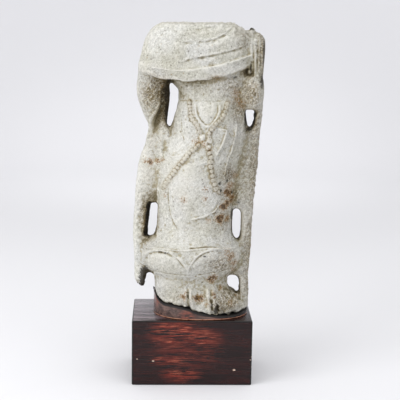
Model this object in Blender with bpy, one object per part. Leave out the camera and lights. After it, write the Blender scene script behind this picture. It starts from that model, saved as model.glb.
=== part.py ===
"""A headless stone bodhisattva torso, standing on a wooden riser and a wooden block.

Metres, +Z up. The figure faces -Y, and the origin is the middle of the block's underside.
The figure's shape is drawn in figure units, one millimetre each at its design height, with z
counted up from the block's top, and is scaled as one to FIGURE_HEIGHT.
"""

import math
from collections import namedtuple

import bmesh
import bpy
import numpy as np

MM = 0.001

# The block that the figure is shown on.
BLOCK_WIDTH = 195 * MM
BLOCK_DEPTH = 137 * MM
BLOCK_HEIGHT = 108 * MM
BLOCK_EDGE = 2.5 * MM

# The stone, from the block's top to the break across the shoulders.
FIGURE_HEIGHT = 475 * MM
DESIGN_HEIGHT = 475
UNIT = FIGURE_HEIGHT / DESIGN_HEIGHT
FORWARD = 3 * MM

# The riser that fills the broken foot of the stone, and the glue line on both of its faces.
RISER_MARGIN = 2.4 * MM
GLUE_GAP = 0.3 * MM

# How finely the stone is worked: the grain of the blended body, its softening and its faces.
CLAY_GRAIN = 2.0
SOFTENING_PASSES = 6
STONE_FACES = 9200

STONE_COLOUR = (0.62, 0.61, 0.56, 1.0)
WOOD_COLOUR = (0.085, 0.022, 0.017, 1.0)

Section = namedtuple("Section", "z centre half_width front back")
# A section's outline lies between an ellipse, at 2, and a box, as this power grows.
ROUND, FULL, FLAT = 2.3, 2.6, 3.2

# The trunk: skirt, hips, waist and the bare strip below the stole. Front and back are the
# depths ahead of and behind the figure's middle plane.
TRUNK = [
    Section(6, 0, 60, 50, 46),
    Section(57, 0, 62, 51, 46),
    Section(92, 1, 61.5, 52, 46),
    Section(146, 3.5, 62.5, 52, 45),
    Section(204, 4, 63, 55, 46),
    Section(230, 7, 64, 57, 48),
    Section(262, 14, 64, 58, 50),
    Section(298, 24, 62, 57, 51),
    Section(328, 27, 59, 55, 48),
    Section(350, 26, 54, 52.5, 44),
    Section(368, 26, 53, 51, 42),
    Section(392, 21, 66, 47, 44),
    Section(430, 8, 70, 44, 44),
]

# The flared hem, a bowl of cloth that overhangs the ankles.
HEM = [
    Section(58, 0, 56, 46, 42),
    Section(67, 0, 64, 53, 48),
    Section(77, -0.5, 73, 61, 56),
    Section(89, -1, 79, 66, 60),
    Section(103, -1, 81.5, 69, 62),
    Section(114, -1, 80.5, 68, 62),
    Section(120.5, -1, 75, 64.5, 59),
    Section(127, 0, 69.5, 60.5, 55),
    Section(135, 1.5, 65, 56.5, 50),
    Section(145, 3, 61.5, 53, 46),
    Section(156, 3.5, 58, 49, 43),
]

# The lowest tier of cloth, over the feet. It reaches the riser.
TIER_CENTRE, TIER_HALF_WIDTH, TIER_FRONT, TIER_BACK = 15, 75.6, 59.5, 57
TIER = [
    Section(-6, TIER_CENTRE, TIER_HALF_WIDTH, TIER_FRONT, TIER_BACK),
    Section(30, TIER_CENTRE, TIER_HALF_WIDTH, TIER_FRONT, TIER_BACK),
    Section(38, TIER_CENTRE, 74.5, 58.7, 56),
    Section(46, 12, 69.5, 56, 53),
    Section(54, 6, 60, 50, 46),
]
# At the figure's left the tier's top falls away, from this x on, by these slopes in x and in y.
TIER_FALL_START, TIER_FALL, TIER_FALL_BACK = 34, 0.5, 0.12

# The chest and shoulders, wrapped in the stole.
STOLE = [
    Section(378, 0, 91, 56.5, 53),
    Section(397, 0.5, 90.7, 57.5, 54),
    Section(417, 2, 89.3, 57, 54),
    Section(436, 4.5, 87.5, 55, 52),
    Section(451, 7, 85.5, 52, 49),
    Section(461, 9, 81, 48, 46),
    Section(469, 8, 72, 43.5, 43),
    Section(475, 5.5, 58, 38, 38),
]
# The stole's lower border, as (x, z). It sags in front and climbs to the raised arm.
STOLE_BORDER = [(-92, 400), (-68, 390), (-39, 381), (-8, 378.5), (31, 386), (74, 399), (92, 406)]
BORDER_REACH = 42

# The upper arm that hangs at the figure's right side, the left one in the picture.
HANGING_ARM = [
    Section(296, -55, 14, 12, 12),
    Section(311, -56.5, 16.5, 17, 17),
    Section(322, -59.3, 20, 21, 22),
    Section(333.5, -61.5, 23, 25, 25),
    Section(346, -63.5, 25.7, 28, 27),
    Section(359, -65, 27.2, 30, 29),
    Section(375, -65, 27.4, 31, 30),
    Section(400, -63, 27, 31, 30),
]
# The other arm is bent: its elbow hangs under the stole and its forearm is raised.
BENT_ELBOW = [
    Section(337, 91, 10, 27, 6),
    Section(340, 91.5, 15, 34, 12),
    Section(350, 92, 18.5, 39, 16),
    Section(362, 92.5, 19.5, 41, 18),
    Section(378, 92.5, 18.5, 40, 18),
    Section(392, 92, 15, 36, 16),
]
RAISED_FOREARM = [
    Section(366, 98, 11.5, 24, 14),
    Section(391, 99.5, 11.8, 29, 14),
    Section(407, 99.5, 13, 31, 14),
    Section(426, 98.5, 15.2, 32, 14),
    Section(445, 99, 15.7, 31, 13),
    Section(454, 99, 12.5, 27, 10),
    Section(458.5, 100, 7.5, 21, 5),
]
FINGER_STUMP = [
    Section(440, 90, 6.5, 24, 6),
    Section(456, 90, 6.2, 23, 4),
    Section(464, 89.5, 5.8, 22, 4),
    Section(468.5, 88.8, 4.4, 19, 2),
]

# The scarf's falling ends, one at each side. Each row gives z, the outer edge, and the depths.
SCARF_INNER_EDGE = 38
LEFT_SCARF = [
    (40, -86, 9, 11), (46, -91, 11, 13), (52.5, -95, 12, 14), (65, -95.5, 13, 15),
    (92, -96, 14, 15), (125, -98, 14, 15), (150, -97.6, 14, 15), (176, -96, 15, 15),
    (192, -94.5, 17, 15), (212, -93.3, 20, 15), (232, -91.7, 22, 15), (252, -88.5, 22, 15),
    (267, -83.7, 21, 15), (278, -79, 20, 15), (291, -76.5, 19, 15), (304, -73.3, 17, 15),
    (313, -72, 14, 14),
]
RIGHT_SCARF = [
    (2, 94.4, 22, 17), (31, 94.7, 20, 17), (65, 94, 17, 17), (84, 95.2, 17, 17),
    (108, 97.2, 17, 17), (138, 97.4, 16, 17), (170, 99.3, 16, 17), (195, 100.4, 18, 17),
    (226, 103, 20, 17), (260, 105.6, 21, 17), (285, 106.7, 21, 17), (318, 110, 20, 17),
    (339, 111.4, 20, 17), (352, 111.6, 22, 17), (366, 112, 22, 16), (377, 110, 20, 14),
]
# The gaps pierced between the scarf's ends and the body, as outlines in x and z.
LEFT_GAPS = [
    [(-66, 181), (-58, 182), (-52, 150), (-52, 124), (-74.5, 123.5), (-70.5, 160)],
    [(-77.5, 62), (-74, 66.5), (-65, 66), (-55, 58), (-55, 20), (-78, 20)],
]
RIGHT_GAPS = [
    [(80, 341), (98.5, 341), (97.5, 318), (94, 307.5), (88, 307.5), (80, 318)],
    [(60, 171), (67.5, 173), (72, 174.5), (78, 170), (79.5, 150), (78, 124), (71.5, 120), (60, 126)],
    [(52, 58), (62, 60.5), (70, 61), (77.5, 56), (78.5, 30), (52, 30)],
]

# The break across the raised arm's shoulder, as a slope from the neck down to the stump.
SHOULDER_BREAK = [(61, 475.5), (70, 468.5), (85, 460.5), (104, 490), (61, 490)]

# The broken foot of the stone, as (x, z): it stands high at the left and low at the right.
FOOT_BREAK = [
    (-90, 42), (-61, 39), (-58, 31), (-52.5, 26), (-47, 23.5), (-26, 22), (-4, 18), (4, 14),
    (21, 10), (49, 5.8), (70, 5.2), (86, 6.8), (120, 14),
]

# Carved lines, as x and z on the front.
STOLE_FOLDS = [
    [(40, 476), (24, 469.5), (8, 466), (-8, 465.5)],
    [(58, 474), (50, 461), (35, 451), (14, 446.5), (-2, 444.5), (-30, 444.5)],
    [(84, 443), (61, 433), (30, 426), (6, 420), (-20, 416.5)],
]
STOLE_RIDGE = [(92, 429), (69, 420.5), (46, 411.5), (15, 405), (-16, 403), (-47, 404), (-92, 411)]
CHAINS = [
    [(-8, 353), (-6, 339), (0.5, 322), (7, 308), (12.6, 297)],
    [(53.5, 354), (49, 333.5), (41, 325.5), (35, 320), (27.5, 311), (24, 301.5), (24, 290.5)],
    [(12, 287.5), (3.5, 283.5), (-7, 274.5), (-17.5, 260), (-28.5, 244), (-36.5, 231), (-43.5, 218.5)],
    [(23, 281), (25, 263.5), (28.5, 247.5), (32, 231.5), (34.5, 217), (41, 211)],
]
# Bosses where the chains meet, each as x, z, radius and rise.
BOSSES = [(12.6, 296.8, 5.6, 3.2), (24, 290.4, 5.2, 3.4), (18, 283.5, 5, 2.4)]
BELT = [(-30, 353), (18, 352), (62, 354)]
GROOVES = [
    [(1.7, 353), (2.7, 339), (7.5, 328), (16.3, 318.7), (27.3, 323.5), (34.9, 338.4), (36.2, 353.5)],
    [(-21.5, 326), (-21, 307), (-16.4, 291), (-8.4, 281.7)],
    [(-41.4, 221), (-41.2, 198.7), (-38, 174.7), (-31, 155.6), (-24.4, 147.5)],
    [(46, 151.5), (37, 138)],
]
SWAGS = [
    [(-45.4, 264.8), (-33.5, 262), (-20.8, 266), (-12.5, 273)],
    [(41.6, 309), (51, 304.3), (46.7, 286), (39, 276.5), (32.8, 266.8)],
    [(67, 317), (64.5, 291.4), (58.5, 270.6), (51, 253), (48.3, 227)],
    [(42, 207.4), (35, 194.4), (25, 175.4), (9.5, 167.3), (-5, 163.5)],
    [(-13, 249), (4.5, 254.6), (20, 258.5)],
]
SCARF_CREASES = [
    [(-82, 252), (-70, 250), (-62, 249), (-54, 253)],
    [(-74.7, 212), (-66.7, 208), (-54, 208), (-44, 209)],
]
HEM_LIP = [(-74, 118.5), (-61, 116.8), (-37, 115.4), (11, 116.5), (35, 118), (59, 117.6), (70, 118)]
HEM_LAPS = [
    [(-78, 104), (-66, 111.6), (-53, 111.7), (-38, 109), (-16, 97), (-7, 81)],
    [(-7.5, 82), (-1.7, 95.7), (11, 107.2), (23.6, 114.6), (42, 117)],
]
TIER_PLEATS = [
    [(-12.8, 49), (-11.2, 20)], [(-2.2, 50), (2.6, 14)], [(24.7, 51), (26.8, 12)], [(34, 52), (35, 20)],
]
# Hollows, each as its middle's x and z, its half-width and half-height, and its depth.
PLEAT_VALLEY = (13, 38, 9, 15, 4.5)
ARM_HOLLOW = (-50, 366, 17, 24, 11)
ARM_EDGE = [(-47, 360), (-55, 346.5), (-61.5, 334), (-67.5, 322), (-71.5, 308)]
FOREARM_FOLDS = [[(92.9, 436), (93.3, 400)], [(105.8, 448), (106.8, 404)]]
BACK_FOLDS = [
    [(-90, 425), (-45, 409), (5, 404), (50, 411), (92, 429)],
    [(-84, 446), (-40, 434), (5, 430), (50, 437), (84, 450)],
    [(-30, 350), (20, 346), (70, 352)],
    [(-40, 300), (-4, 250), (20, 236), (46, 250), (84, 300)],
    [(-52, 240), (-16, 196), (6, 186), (28, 196), (66, 236)],
    [(-56, 184), (-20, 152), (4, 146), (28, 152), (64, 184)],
    [(-80, 116), (-40, 110), (0, 108), (40, 110), (80, 116)],
    [(-30, 46), (-29, 26)],
    [(0, 46), (1, 22)],
    [(30, 46), (30, 16)],
    [(60, 44), (59, 20)],
]

# How the lines are cut: the half-width of a line, how far it stands proud or sinks, and the
# offset and half-width of the flute that runs beside it.
LINE = 2.7
GROOVE_DEPTH = 1.5
CHAIN_RISE, CHAIN_HALF_WIDTH = 2.6, 4.4
LAP_RISE, LAP_REACH, BACK_LAP_RISE = 1.6, 8, 1.3
RIDGE_RISE, RIDGE_FLUTE, RIDGE_FLUTE_OFFSET, RIDGE_FLUTE_HALF_WIDTH = 2.0, 1.8, 9, 7
SWAG_RISE, SWAG_FLUTE, SWAG_FLUTE_OFFSET, SWAG_FLUTE_HALF_WIDTH = 1.7, 0.9, 6, 4
CREASE_RISE = 0.9
PLEAT_RISE = 3.0
FADE = 0.35
ARM_EDGE_RISE, ARM_STEP, ARM_STEP_WIDTH = 3.4, 9, 9


def clear_scene():
    """An empty scene to model in."""
    for obj in list(bpy.data.objects):
        bpy.data.objects.remove(obj)


def spline(points, steps=6):
    """A smooth curve through the points, with a number of steps in each span."""
    p = np.array(points, float)
    p = np.vstack([2 * p[0] - p[1], p, 2 * p[-1] - p[-2]])
    out = []
    for k in range(1, len(p) - 2):
        for t in np.arange(steps) / steps:
            out.append(
                0.5 * (2 * p[k] + (p[k + 1] - p[k - 1]) * t
                       + (2 * p[k - 1] - 5 * p[k] + 4 * p[k + 1] - p[k + 2]) * t * t
                       + (3 * p[k] - p[k - 1] - 3 * p[k + 1] + p[k + 2]) * t ** 3)
            )
    out.append(p[-2])
    return np.array(out)


def ring_points(section, power, count):
    """The outline of one section: a rounded box with its own depth ahead and behind."""
    z, centre, half_width, front, back = section
    middle, half_depth = (back - front) / 2, (back + front) / 2
    points = []
    for k in range(count):
        c, s = math.cos(math.tau * k / count), math.sin(math.tau * k / count)
        x = centre + half_width * math.copysign(abs(c) ** (2 / power), c)
        y = middle + half_depth * math.copysign(abs(s) ** (2 / power), s)
        points.append((x, y, z))
    return points


def loft(bm, sections, power=ROUND, count=48, shape=None):
    """Adds a closed body that passes smoothly through the sections, from the lowest up."""
    rings = []
    for row in spline(sections, 3):
        rings.append([bm.verts.new(shape(p) if shape else p) for p in ring_points(row, power, count)])
    for below, above in zip(rings, rings[1:]):
        for k in range(count):
            j = (k + 1) % count
            bm.faces.new((below[k], below[j], above[j], above[k]))
    bm.faces.new(rings[0][::-1])
    bm.faces.new(rings[-1])


def prism(bm, outline, low_y, high_y):
    """Adds an outline in x and z, drawn out along y."""
    near = [bm.verts.new((x, low_y, z)) for x, z in outline]
    far = [bm.verts.new((x, high_y, z)) for x, z in outline]
    for k in range(len(outline)):
        j = (k + 1) % len(outline)
        bm.faces.new((near[k], near[j], far[j], far[k]))
    bm.faces.new(near[::-1])
    bm.faces.new(far)
    bmesh.ops.recalc_face_normals(bm, faces=bm.faces)


def object_from(bm, name):
    """A new object in the scene that holds the modelled mesh."""
    mesh = bpy.data.meshes.new(name)
    bm.to_mesh(mesh)
    bm.free()
    obj = bpy.data.objects.new(name, mesh)
    bpy.context.scene.collection.objects.link(obj)
    return obj


def cutter(name, outlines):
    """A hidden tool that takes away what lies inside its outlines, right through the stone."""
    reach = max(section.front + section.back for section in HEM)
    bm = bmesh.new()
    for outline in outlines:
        prism(bm, outline, -reach, reach)
    tool = object_from(bm, name)
    tool.hide_render = True
    tool.display_type = "WIRE"
    return tool


def cut(obj, tool):
    """Takes the tool's shape away from the object."""
    step = obj.modifiers.new(tool.name, "BOOLEAN")
    step.operation = "DIFFERENCE"
    step.solver = "EXACT"
    step.object = tool


def finished_mesh(obj):
    """The object's mesh with its modifiers worked in."""
    graph = bpy.context.evaluated_depsgraph_get()
    return bpy.data.meshes.new_from_object(obj.evaluated_get(graph))


def discard(*objects):
    for obj in objects:
        bpy.data.objects.remove(obj)


def scarf_sections(rows, side):
    """Sections of a flat fall of cloth, from its outer edge to inside the body."""
    inner = side * SCARF_INNER_EDGE
    return [Section(z, (edge + inner) / 2, abs(edge - inner) / 2, *depths) for z, edge, *depths in rows]


def scarf_mesh(name, rows, side, gaps):
    """One falling end of the scarf, with its gaps pierced."""
    bm = bmesh.new()
    loft(bm, scarf_sections(rows, side), FLAT)
    bmesh.ops.recalc_face_normals(bm, faces=bm.faces)
    fall = object_from(bm, name)
    tool = cutter(name + "_gaps", gaps)
    cut(fall, tool)
    mesh = finished_mesh(fall)
    discard(fall, tool)
    return mesh


def stole_shape(point):
    """Bends the foot of the stole to its sagging border."""
    x, y, z = point
    border = np.interp(x, *zip(*STOLE_BORDER))
    foot = STOLE[0].z
    share = max(0.0, 1 - (z - foot) / BORDER_REACH)
    return x, y, z + (border - foot) * share


def tier_shape(point):
    """Lowers the tier's top towards the figure's left, and a little more behind."""
    x, y, z = point
    across = max(0.0, x - TIER_FALL_START)
    drop = across * (TIER_FALL + TIER_FALL_BACK * max(0.0, y) / TIER_BACK)
    return x, y, z - drop * max(0.0, min(1.0, z / TIER[-1].z))


def clay_body():
    """Every form of the stone in one mesh, each a closed body that overlaps its neighbours."""
    bm = bmesh.new()
    loft(bm, TRUNK)
    loft(bm, HEM)
    loft(bm, TIER, shape=tier_shape)
    loft(bm, STOLE, FULL, shape=stole_shape)
    loft(bm, HANGING_ARM)
    loft(bm, BENT_ELBOW)
    loft(bm, RAISED_FOREARM, FULL)
    loft(bm, FINGER_STUMP)
    bmesh.ops.recalc_face_normals(bm, faces=bm.faces)
    bm.from_mesh(scarf_mesh("left_scarf", LEFT_SCARF, -1, LEFT_GAPS))
    bm.from_mesh(scarf_mesh("right_scarf", RIGHT_SCARF, 1, RIGHT_GAPS))
    return object_from(bm, "clay_body")


def blended_mesh():
    """The forms run together into one skin and softened, as a carver blends them."""
    clay = clay_body()
    skin = clay.modifiers.new("skin", "REMESH")
    skin.mode = "VOXEL"
    skin.voxel_size = CLAY_GRAIN
    soften = clay.modifiers.new("soften", "SMOOTH")
    soften.factor = 0.5
    soften.iterations = SOFTENING_PASSES
    mesh = finished_mesh(clay)
    discard(clay)
    return mesh


def bump(t):
    """A soft mound: 1 at 0, and next to nothing beyond 2."""
    return np.exp(-t * t)


def ease(t):
    """0 up to 0, 1 from 1 on, and a smooth climb between."""
    t = np.clip(t, 0, 1)
    return t * t * (3 - 2 * t)


def signed_along(points, line):
    """Each point's distance in x and z from a drawn line, below zero on the line's right side."""
    path = spline(line)
    nearest = np.full(len(points), np.inf)
    signed = np.zeros(len(points))
    for a, b in zip(path, path[1:]):
        run = b - a
        share = np.clip(((points - a) @ run) / (run @ run), 0, 1)
        offset = points - a - share[:, None] * run
        gap = np.hypot(offset[:, 0], offset[:, 1])
        on_right = run[0] * offset[:, 1] < run[1] * offset[:, 0]
        nearer = gap < nearest
        nearest[nearer] = gap[nearer]
        signed[nearer] = np.where(on_right, -gap, gap)[nearer]
    return signed


def mound(points, x, z, half_width, half_height):
    """A round swelling about a point on the front."""
    return bump(np.hypot((points[:, 0] - x) / half_width, (points[:, 1] - z) / half_height))


def hollow(points, x, z, half_width, half_height, depth):
    """A scooped hollow."""
    return -depth * mound(points, x, z, half_width, half_height)


def ridge(points, line, rise):
    """A line left standing."""
    return rise * bump(signed_along(points, line) / LINE)


def lap(points, line, rise):
    """One fold lying over another: the line's left side stands proud and its right side sinks."""
    offset = signed_along(points, line)
    return rise * np.tanh(offset / LINE) * bump(offset / LAP_REACH)


def swag(points, line):
    """A fold's crest with a flute on its left side."""
    offset = signed_along(points, line) - SWAG_FLUTE_OFFSET
    return ridge(points, line, SWAG_RISE) - SWAG_FLUTE * bump(offset / SWAG_FLUTE_HALF_WIDTH)


def stole_relief(points):
    """Folds that sag across the chest: three laps, and a ridge with a flute above it."""
    height = sum(lap(points, line, LAP_RISE) - ridge(points, line, GROOVE_DEPTH / 2) for line in STOLE_FOLDS)
    offset = signed_along(points, STOLE_RIDGE) + RIDGE_FLUTE_OFFSET
    height += ridge(points, STOLE_RIDGE, RIDGE_RISE) - RIDGE_FLUTE * bump(offset / RIDGE_FLUTE_HALF_WIDTH)
    return height


def jewel_relief(points):
    """The crossed chains, the bosses where they meet and the folds under them."""
    height = np.zeros(len(points))
    for line in CHAINS:
        chain = CHAIN_RISE * bump(signed_along(points, line) / CHAIN_HALF_WIDTH)
        height = np.maximum(height, chain)
    for x, z, radius, rise in BOSSES:
        height = np.maximum(height, rise * mound(points, x, z, radius, radius))
    height -= sum(ridge(points, line, GROOVE_DEPTH) for line in GROOVES)
    height += sum(swag(points, line) for line in SWAGS)
    height += sum(ridge(points, line, CREASE_RISE) for line in SCARF_CREASES)
    return height - lap(points, BELT, CREASE_RISE)


def hem_relief(points):
    """The hem's turned lip, the two laps of cloth below it and the pleats over the feet."""
    height = swag(points, HEM_LIP[::-1])
    height += sum(ridge(points, line, SWAG_RISE) - lap(points, line, LAP_RISE) for line in HEM_LAPS)
    height += sum(ridge(points, line, PLEAT_RISE) for line in TIER_PLEATS)
    return height + hollow(points, *PLEAT_VALLEY)


def arm_relief(points):
    """The hollow beside the hanging arm, its bright edge, and the raised hand's folds."""
    height = hollow(points, *ARM_HOLLOW) + ridge(points, ARM_EDGE, ARM_EDGE_RISE)
    inward = signed_along(points, ARM_EDGE) / ARM_STEP_WIDTH
    height -= ARM_STEP * ease(inward) * bump(inward - 1)
    return height + sum(ridge(points, line, SWAG_RISE) for line in FOREARM_FOLDS)


def back_relief(points):
    """Plain, shallow folds behind."""
    return -sum(lap(points, line, BACK_LAP_RISE) for line in BACK_FOLDS)


def carve(mesh):
    """Moves the skin in and out along its own direction, front and back each by their drawing.

    The drawings fade out where the surface turns to the side.
    """
    count = len(mesh.vertices)
    places = np.empty(count * 3, np.float32)
    mesh.vertices.foreach_get("co", places)
    places = places.reshape(-1, 3).astype(float)
    facing = np.array([v.normal[:] for v in mesh.vertices])
    drawn = places[:, [0, 2]]
    ahead, behind = ease(-facing[:, 1] / FADE), ease(facing[:, 1] / FADE)
    front = stole_relief(drawn) + jewel_relief(drawn) + hem_relief(drawn) + arm_relief(drawn)
    relief = ahead * front + behind * back_relief(drawn)
    places += facing * relief[:, None]
    mesh.vertices.foreach_set("co", places.astype(np.float32).ravel())
    mesh.update()


def foot_outline(drop, end):
    """The foot break, lowered by drop and closed off at the level that it's given."""
    line = [(x, z - drop) for x, z in FOOT_BREAK]
    return line + [(line[-1][0], end), (line[0][0], end)]


def to_place(obj):
    """Scales a piece drawn in figure units and stands it on the block."""
    for v in obj.data.vertices:
        v.co = (v.co.x * UNIT, v.co.y * UNIT - FORWARD, v.co.z * UNIT + BLOCK_HEIGHT)
    return obj


def material(name, colour, roughness):
    """A plain finish in the piece's own colour."""
    made = bpy.data.materials.new(name)
    made.use_nodes = True
    shader = made.node_tree.nodes["Principled BSDF"]
    shader.inputs["Base Color"].default_value = colour
    shader.inputs["Roughness"].default_value = roughness
    return made


def torso():
    """The stone itself, one carved piece, cut off at its broken foot."""
    skin = blended_mesh()
    carve(skin)
    stone = bpy.data.objects.new("stone_torso", skin)
    bpy.context.scene.collection.objects.link(stone)
    to_place(stone)
    fewer = stone.modifiers.new("fewer_faces", "DECIMATE")
    fewer.ratio = STONE_FACES / (2 * len(skin.polygons))
    below_all = 2 * TIER[0].z
    cut(stone, to_place(cutter("breaks", [foot_outline(0, below_all), SHOULDER_BREAK])))
    stone.data.materials.clear()
    stone.data.materials.append(material("grey_stone", STONE_COLOUR, 0.85))
    return stone


def riser():
    """The oval wooden filler, level below and shaped to the stone's foot above."""
    margin, gap = RISER_MARGIN / UNIT, GLUE_GAP / UNIT
    bm = bmesh.new()
    outline = Section(gap, TIER_CENTRE, TIER_HALF_WIDTH + margin, TIER_FRONT + margin, TIER_BACK + margin)
    above_all = 2 * max(z for x, z in FOOT_BREAK)
    loft(bm, [outline, outline._replace(z=above_all)], count=72)
    bmesh.ops.recalc_face_normals(bm, faces=bm.faces)
    wood = to_place(object_from(bm, "wood_riser"))
    cut(wood, to_place(cutter("riser_seat", [foot_outline(gap, above_all + margin)])))
    wood.data.materials.append(material("riser_wood", WOOD_COLOUR, 0.4))
    return wood


def block():
    """The squared hardwood block, its edges eased."""
    bm = bmesh.new()
    bmesh.ops.create_cube(bm, size=1)
    for v in bm.verts:
        v.co = (v.co.x * BLOCK_WIDTH, v.co.y * BLOCK_DEPTH, (v.co.z + 0.5) * BLOCK_HEIGHT)
    wood = object_from(bm, "wood_block")
    eased = wood.modifiers.new("eased_edges", "BEVEL")
    eased.width = BLOCK_EDGE
    eased.segments = 3
    wood.data.materials.append(material("block_wood", WOOD_COLOUR, 0.35))
    return wood


def main():
    clear_scene()
    block()
    riser()
    torso()


main()
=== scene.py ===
# %% [markdown]
# # A stone bodhisattva torso on its wooden base
#
# The real object is a headless figure, about 47 cm tall, carved from one piece of pale, coarse
# stone. It stands on an oval wooden riser, cut to fill its broken foot, and on a dark stained
# block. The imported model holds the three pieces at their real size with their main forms. This
# lesson gives them what a plain solid lacks: beads, cut lines, broken and weathered surfaces,
# wood grain, wear and light.
#
# Everything is in metres, with +Z up. The figure faces -Y.

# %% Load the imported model
import math

import bpy
import numpy as np
from mathutils import Matrix, Vector, noise
from mathutils.bvhtree import BVHTree


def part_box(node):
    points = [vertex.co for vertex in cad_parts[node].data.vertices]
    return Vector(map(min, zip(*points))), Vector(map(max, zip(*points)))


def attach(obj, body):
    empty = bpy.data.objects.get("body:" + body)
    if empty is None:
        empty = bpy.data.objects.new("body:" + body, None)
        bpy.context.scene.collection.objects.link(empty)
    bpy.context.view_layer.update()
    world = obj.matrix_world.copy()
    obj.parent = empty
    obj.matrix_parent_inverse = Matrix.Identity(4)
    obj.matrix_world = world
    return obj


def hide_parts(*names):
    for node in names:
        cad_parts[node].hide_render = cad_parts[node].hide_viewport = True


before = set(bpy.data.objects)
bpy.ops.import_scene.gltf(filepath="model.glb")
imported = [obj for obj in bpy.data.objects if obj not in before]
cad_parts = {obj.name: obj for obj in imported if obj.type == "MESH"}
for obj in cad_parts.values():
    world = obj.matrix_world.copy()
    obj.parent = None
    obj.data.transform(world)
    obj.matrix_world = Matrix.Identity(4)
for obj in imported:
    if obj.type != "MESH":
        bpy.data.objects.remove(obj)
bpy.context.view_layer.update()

MM = 0.001
block_low, block_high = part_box("wood_block")
BLOCK_TOP = block_high.z

# %% [markdown]
# ## The camera
#
# The photo was taken from a little above the block and almost level with the broken neck, with a
# long lens, so the upright edges stay nearly parallel. The place and the three angles below were
# worked out from the block's edges. A camera looks along its own -Z, so its three axes are built
# from those angles and put straight into its matrix, which is easier to read than Euler angles.

# %% Place the camera
CAMERA_PLACE = Vector((-48.8, -1701, 590.8)) * MM
CAMERA_DOWN, CAMERA_LEFT, CAMERA_ROLL = (math.radians(a) for a in (9.877, 2.046, 0.807))
CAMERA_LENS = 94.5
SENSOR = 36

ahead = Vector((
    math.sin(CAMERA_LEFT) * math.cos(CAMERA_DOWN),
    math.cos(CAMERA_LEFT) * math.cos(CAMERA_DOWN),
    -math.sin(CAMERA_DOWN),
))
level = Vector((math.cos(CAMERA_LEFT), -math.sin(CAMERA_LEFT), 0))
above = level.cross(ahead)
camera_x = level * math.cos(CAMERA_ROLL) + above * math.sin(CAMERA_ROLL)
camera_y = above * math.cos(CAMERA_ROLL) - level * math.sin(CAMERA_ROLL)

bpy.ops.object.camera_add()
camera = bpy.context.active_object
camera.name = "photo_camera"
camera_axes = Matrix((camera_x, camera_y, -ahead)).transposed().to_4x4()
camera.matrix_world = Matrix.Translation(CAMERA_PLACE) @ camera_axes
camera.data.sensor_width = SENSOR
camera.data.lens = CAMERA_LENS
bpy.context.scene.camera = camera
print("camera", [round(v, 3) for v in camera.location], "lens", camera.data.lens, "mm")

# %% [markdown]
# ## Small helpers
#
# A colour is picked on a screen as an sRGB hex value, but the shaders count in linear light, so
# one function turns the first into the second. One more function adds a node with its settings
# and what feeds it, and a last one deselects everything and makes one object active, because an
# operator works on whatever is selected.

# %% Helpers for colours, nodes and selection
def linear(code):
    """A hex colour as the linear red, green, blue and alpha that a shader reads."""
    parts = [int(code[k:k + 2], 16) / 255 for k in (1, 3, 5)]
    return [c / 12.92 if c <= 0.04045 else ((c + 0.055) / 1.055) ** 2.4 for c in parts] + [1]


def add(tree, kind, inputs=None, stops=None, **settings):
    """Adds a node, sets it up, and feeds its sockets with values or with other nodes' outputs."""
    made = tree.nodes.new("ShaderNode" + kind)
    for name, value in settings.items():
        setattr(made, name, value)
    for socket, value in (inputs or {}).items():
        if isinstance(value, bpy.types.NodeSocket):
            tree.links.new(value, made.inputs[socket])
        else:
            made.inputs[socket].default_value = value
    if stops:
        marks = made.color_ramp.elements
        while len(marks) < len(stops):
            marks.new(1)
        for mark, (place, code) in zip(marks, stops):
            mark.position, mark.color = place, linear(code)
    return made


def new_material(name):
    """An empty node material with its shader already in place."""
    material = bpy.data.materials.new(name)
    material.use_nodes = True
    tree = material.node_tree
    return material, tree, tree.nodes["Principled BSDF"]


def only(obj):
    """Deselects everything, then selects this object and makes it active."""
    bpy.ops.object.select_all(action="DESELECT")
    obj.select_set(True)
    bpy.context.view_layer.objects.active = obj
    return obj


print("white is", linear("#ffffff"), "and mid grey is", [round(v, 3) for v in linear("#808080")])

# %% [markdown]
# ## Studio floor and light
#
# The photo has a pale, even backdrop that runs into the floor with no line, and soft light from
# the upper left. A wide drum with a rounded foot gives that from every side: floor, cove and wall
# are one surface. It starts as a cylinder whose upper cap is taken off and whose lower rim is
# bevelled wide.

# %% Build the studio drum
STUDIO_RADIUS, STUDIO_HEIGHT, COVE = 3.4, 1.6, 1.1
STUDIO_SIDES, COVE_STEPS = 96, 14


def select_parts(piece, kind, numbers):
    """Leaves exactly these parts selected, in edit mode. The kind is FACE or EDGE."""
    only(piece)
    bpy.ops.object.mode_set(mode="EDIT")
    bpy.ops.mesh.select_mode(type=kind)
    bpy.ops.mesh.select_all(action="DESELECT")
    bpy.ops.object.mode_set(mode="OBJECT")
    parts = piece.data.polygons if kind == "FACE" else piece.data.edges
    for number in numbers:
        parts[number].select = True
    bpy.ops.object.mode_set(mode="EDIT")


bpy.ops.object.select_all(action="DESELECT")
bpy.ops.mesh.primitive_cylinder_add(
    vertices=STUDIO_SIDES, radius=STUDIO_RADIUS, depth=STUDIO_HEIGHT,
    location=(0, 0, STUDIO_HEIGHT / 2), end_fill_type="NGON")
studio = bpy.context.active_object
studio.name = "studio_floor"
bpy.ops.object.transform_apply(location=True, rotation=True, scale=True)
select_parts(studio, "FACE", [face.index for face in studio.data.polygons if face.normal.z > 0.5])
bpy.ops.mesh.delete(type="ONLY_FACE")
bpy.ops.object.mode_set(mode="OBJECT")
corners = studio.data.vertices
rim = [edge.index for edge in studio.data.edges if all(corners[v].co.z < MM for v in edge.vertices)]
select_parts(studio, "EDGE", rim)
bpy.ops.mesh.bevel(offset=COVE, segments=COVE_STEPS)
bpy.ops.mesh.select_all(action="SELECT")
bpy.ops.mesh.flip_normals()
bpy.ops.object.mode_set(mode="OBJECT")
bpy.ops.object.shade_smooth()
print("studio drum:", len(studio.data.polygons), "faces")

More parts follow.
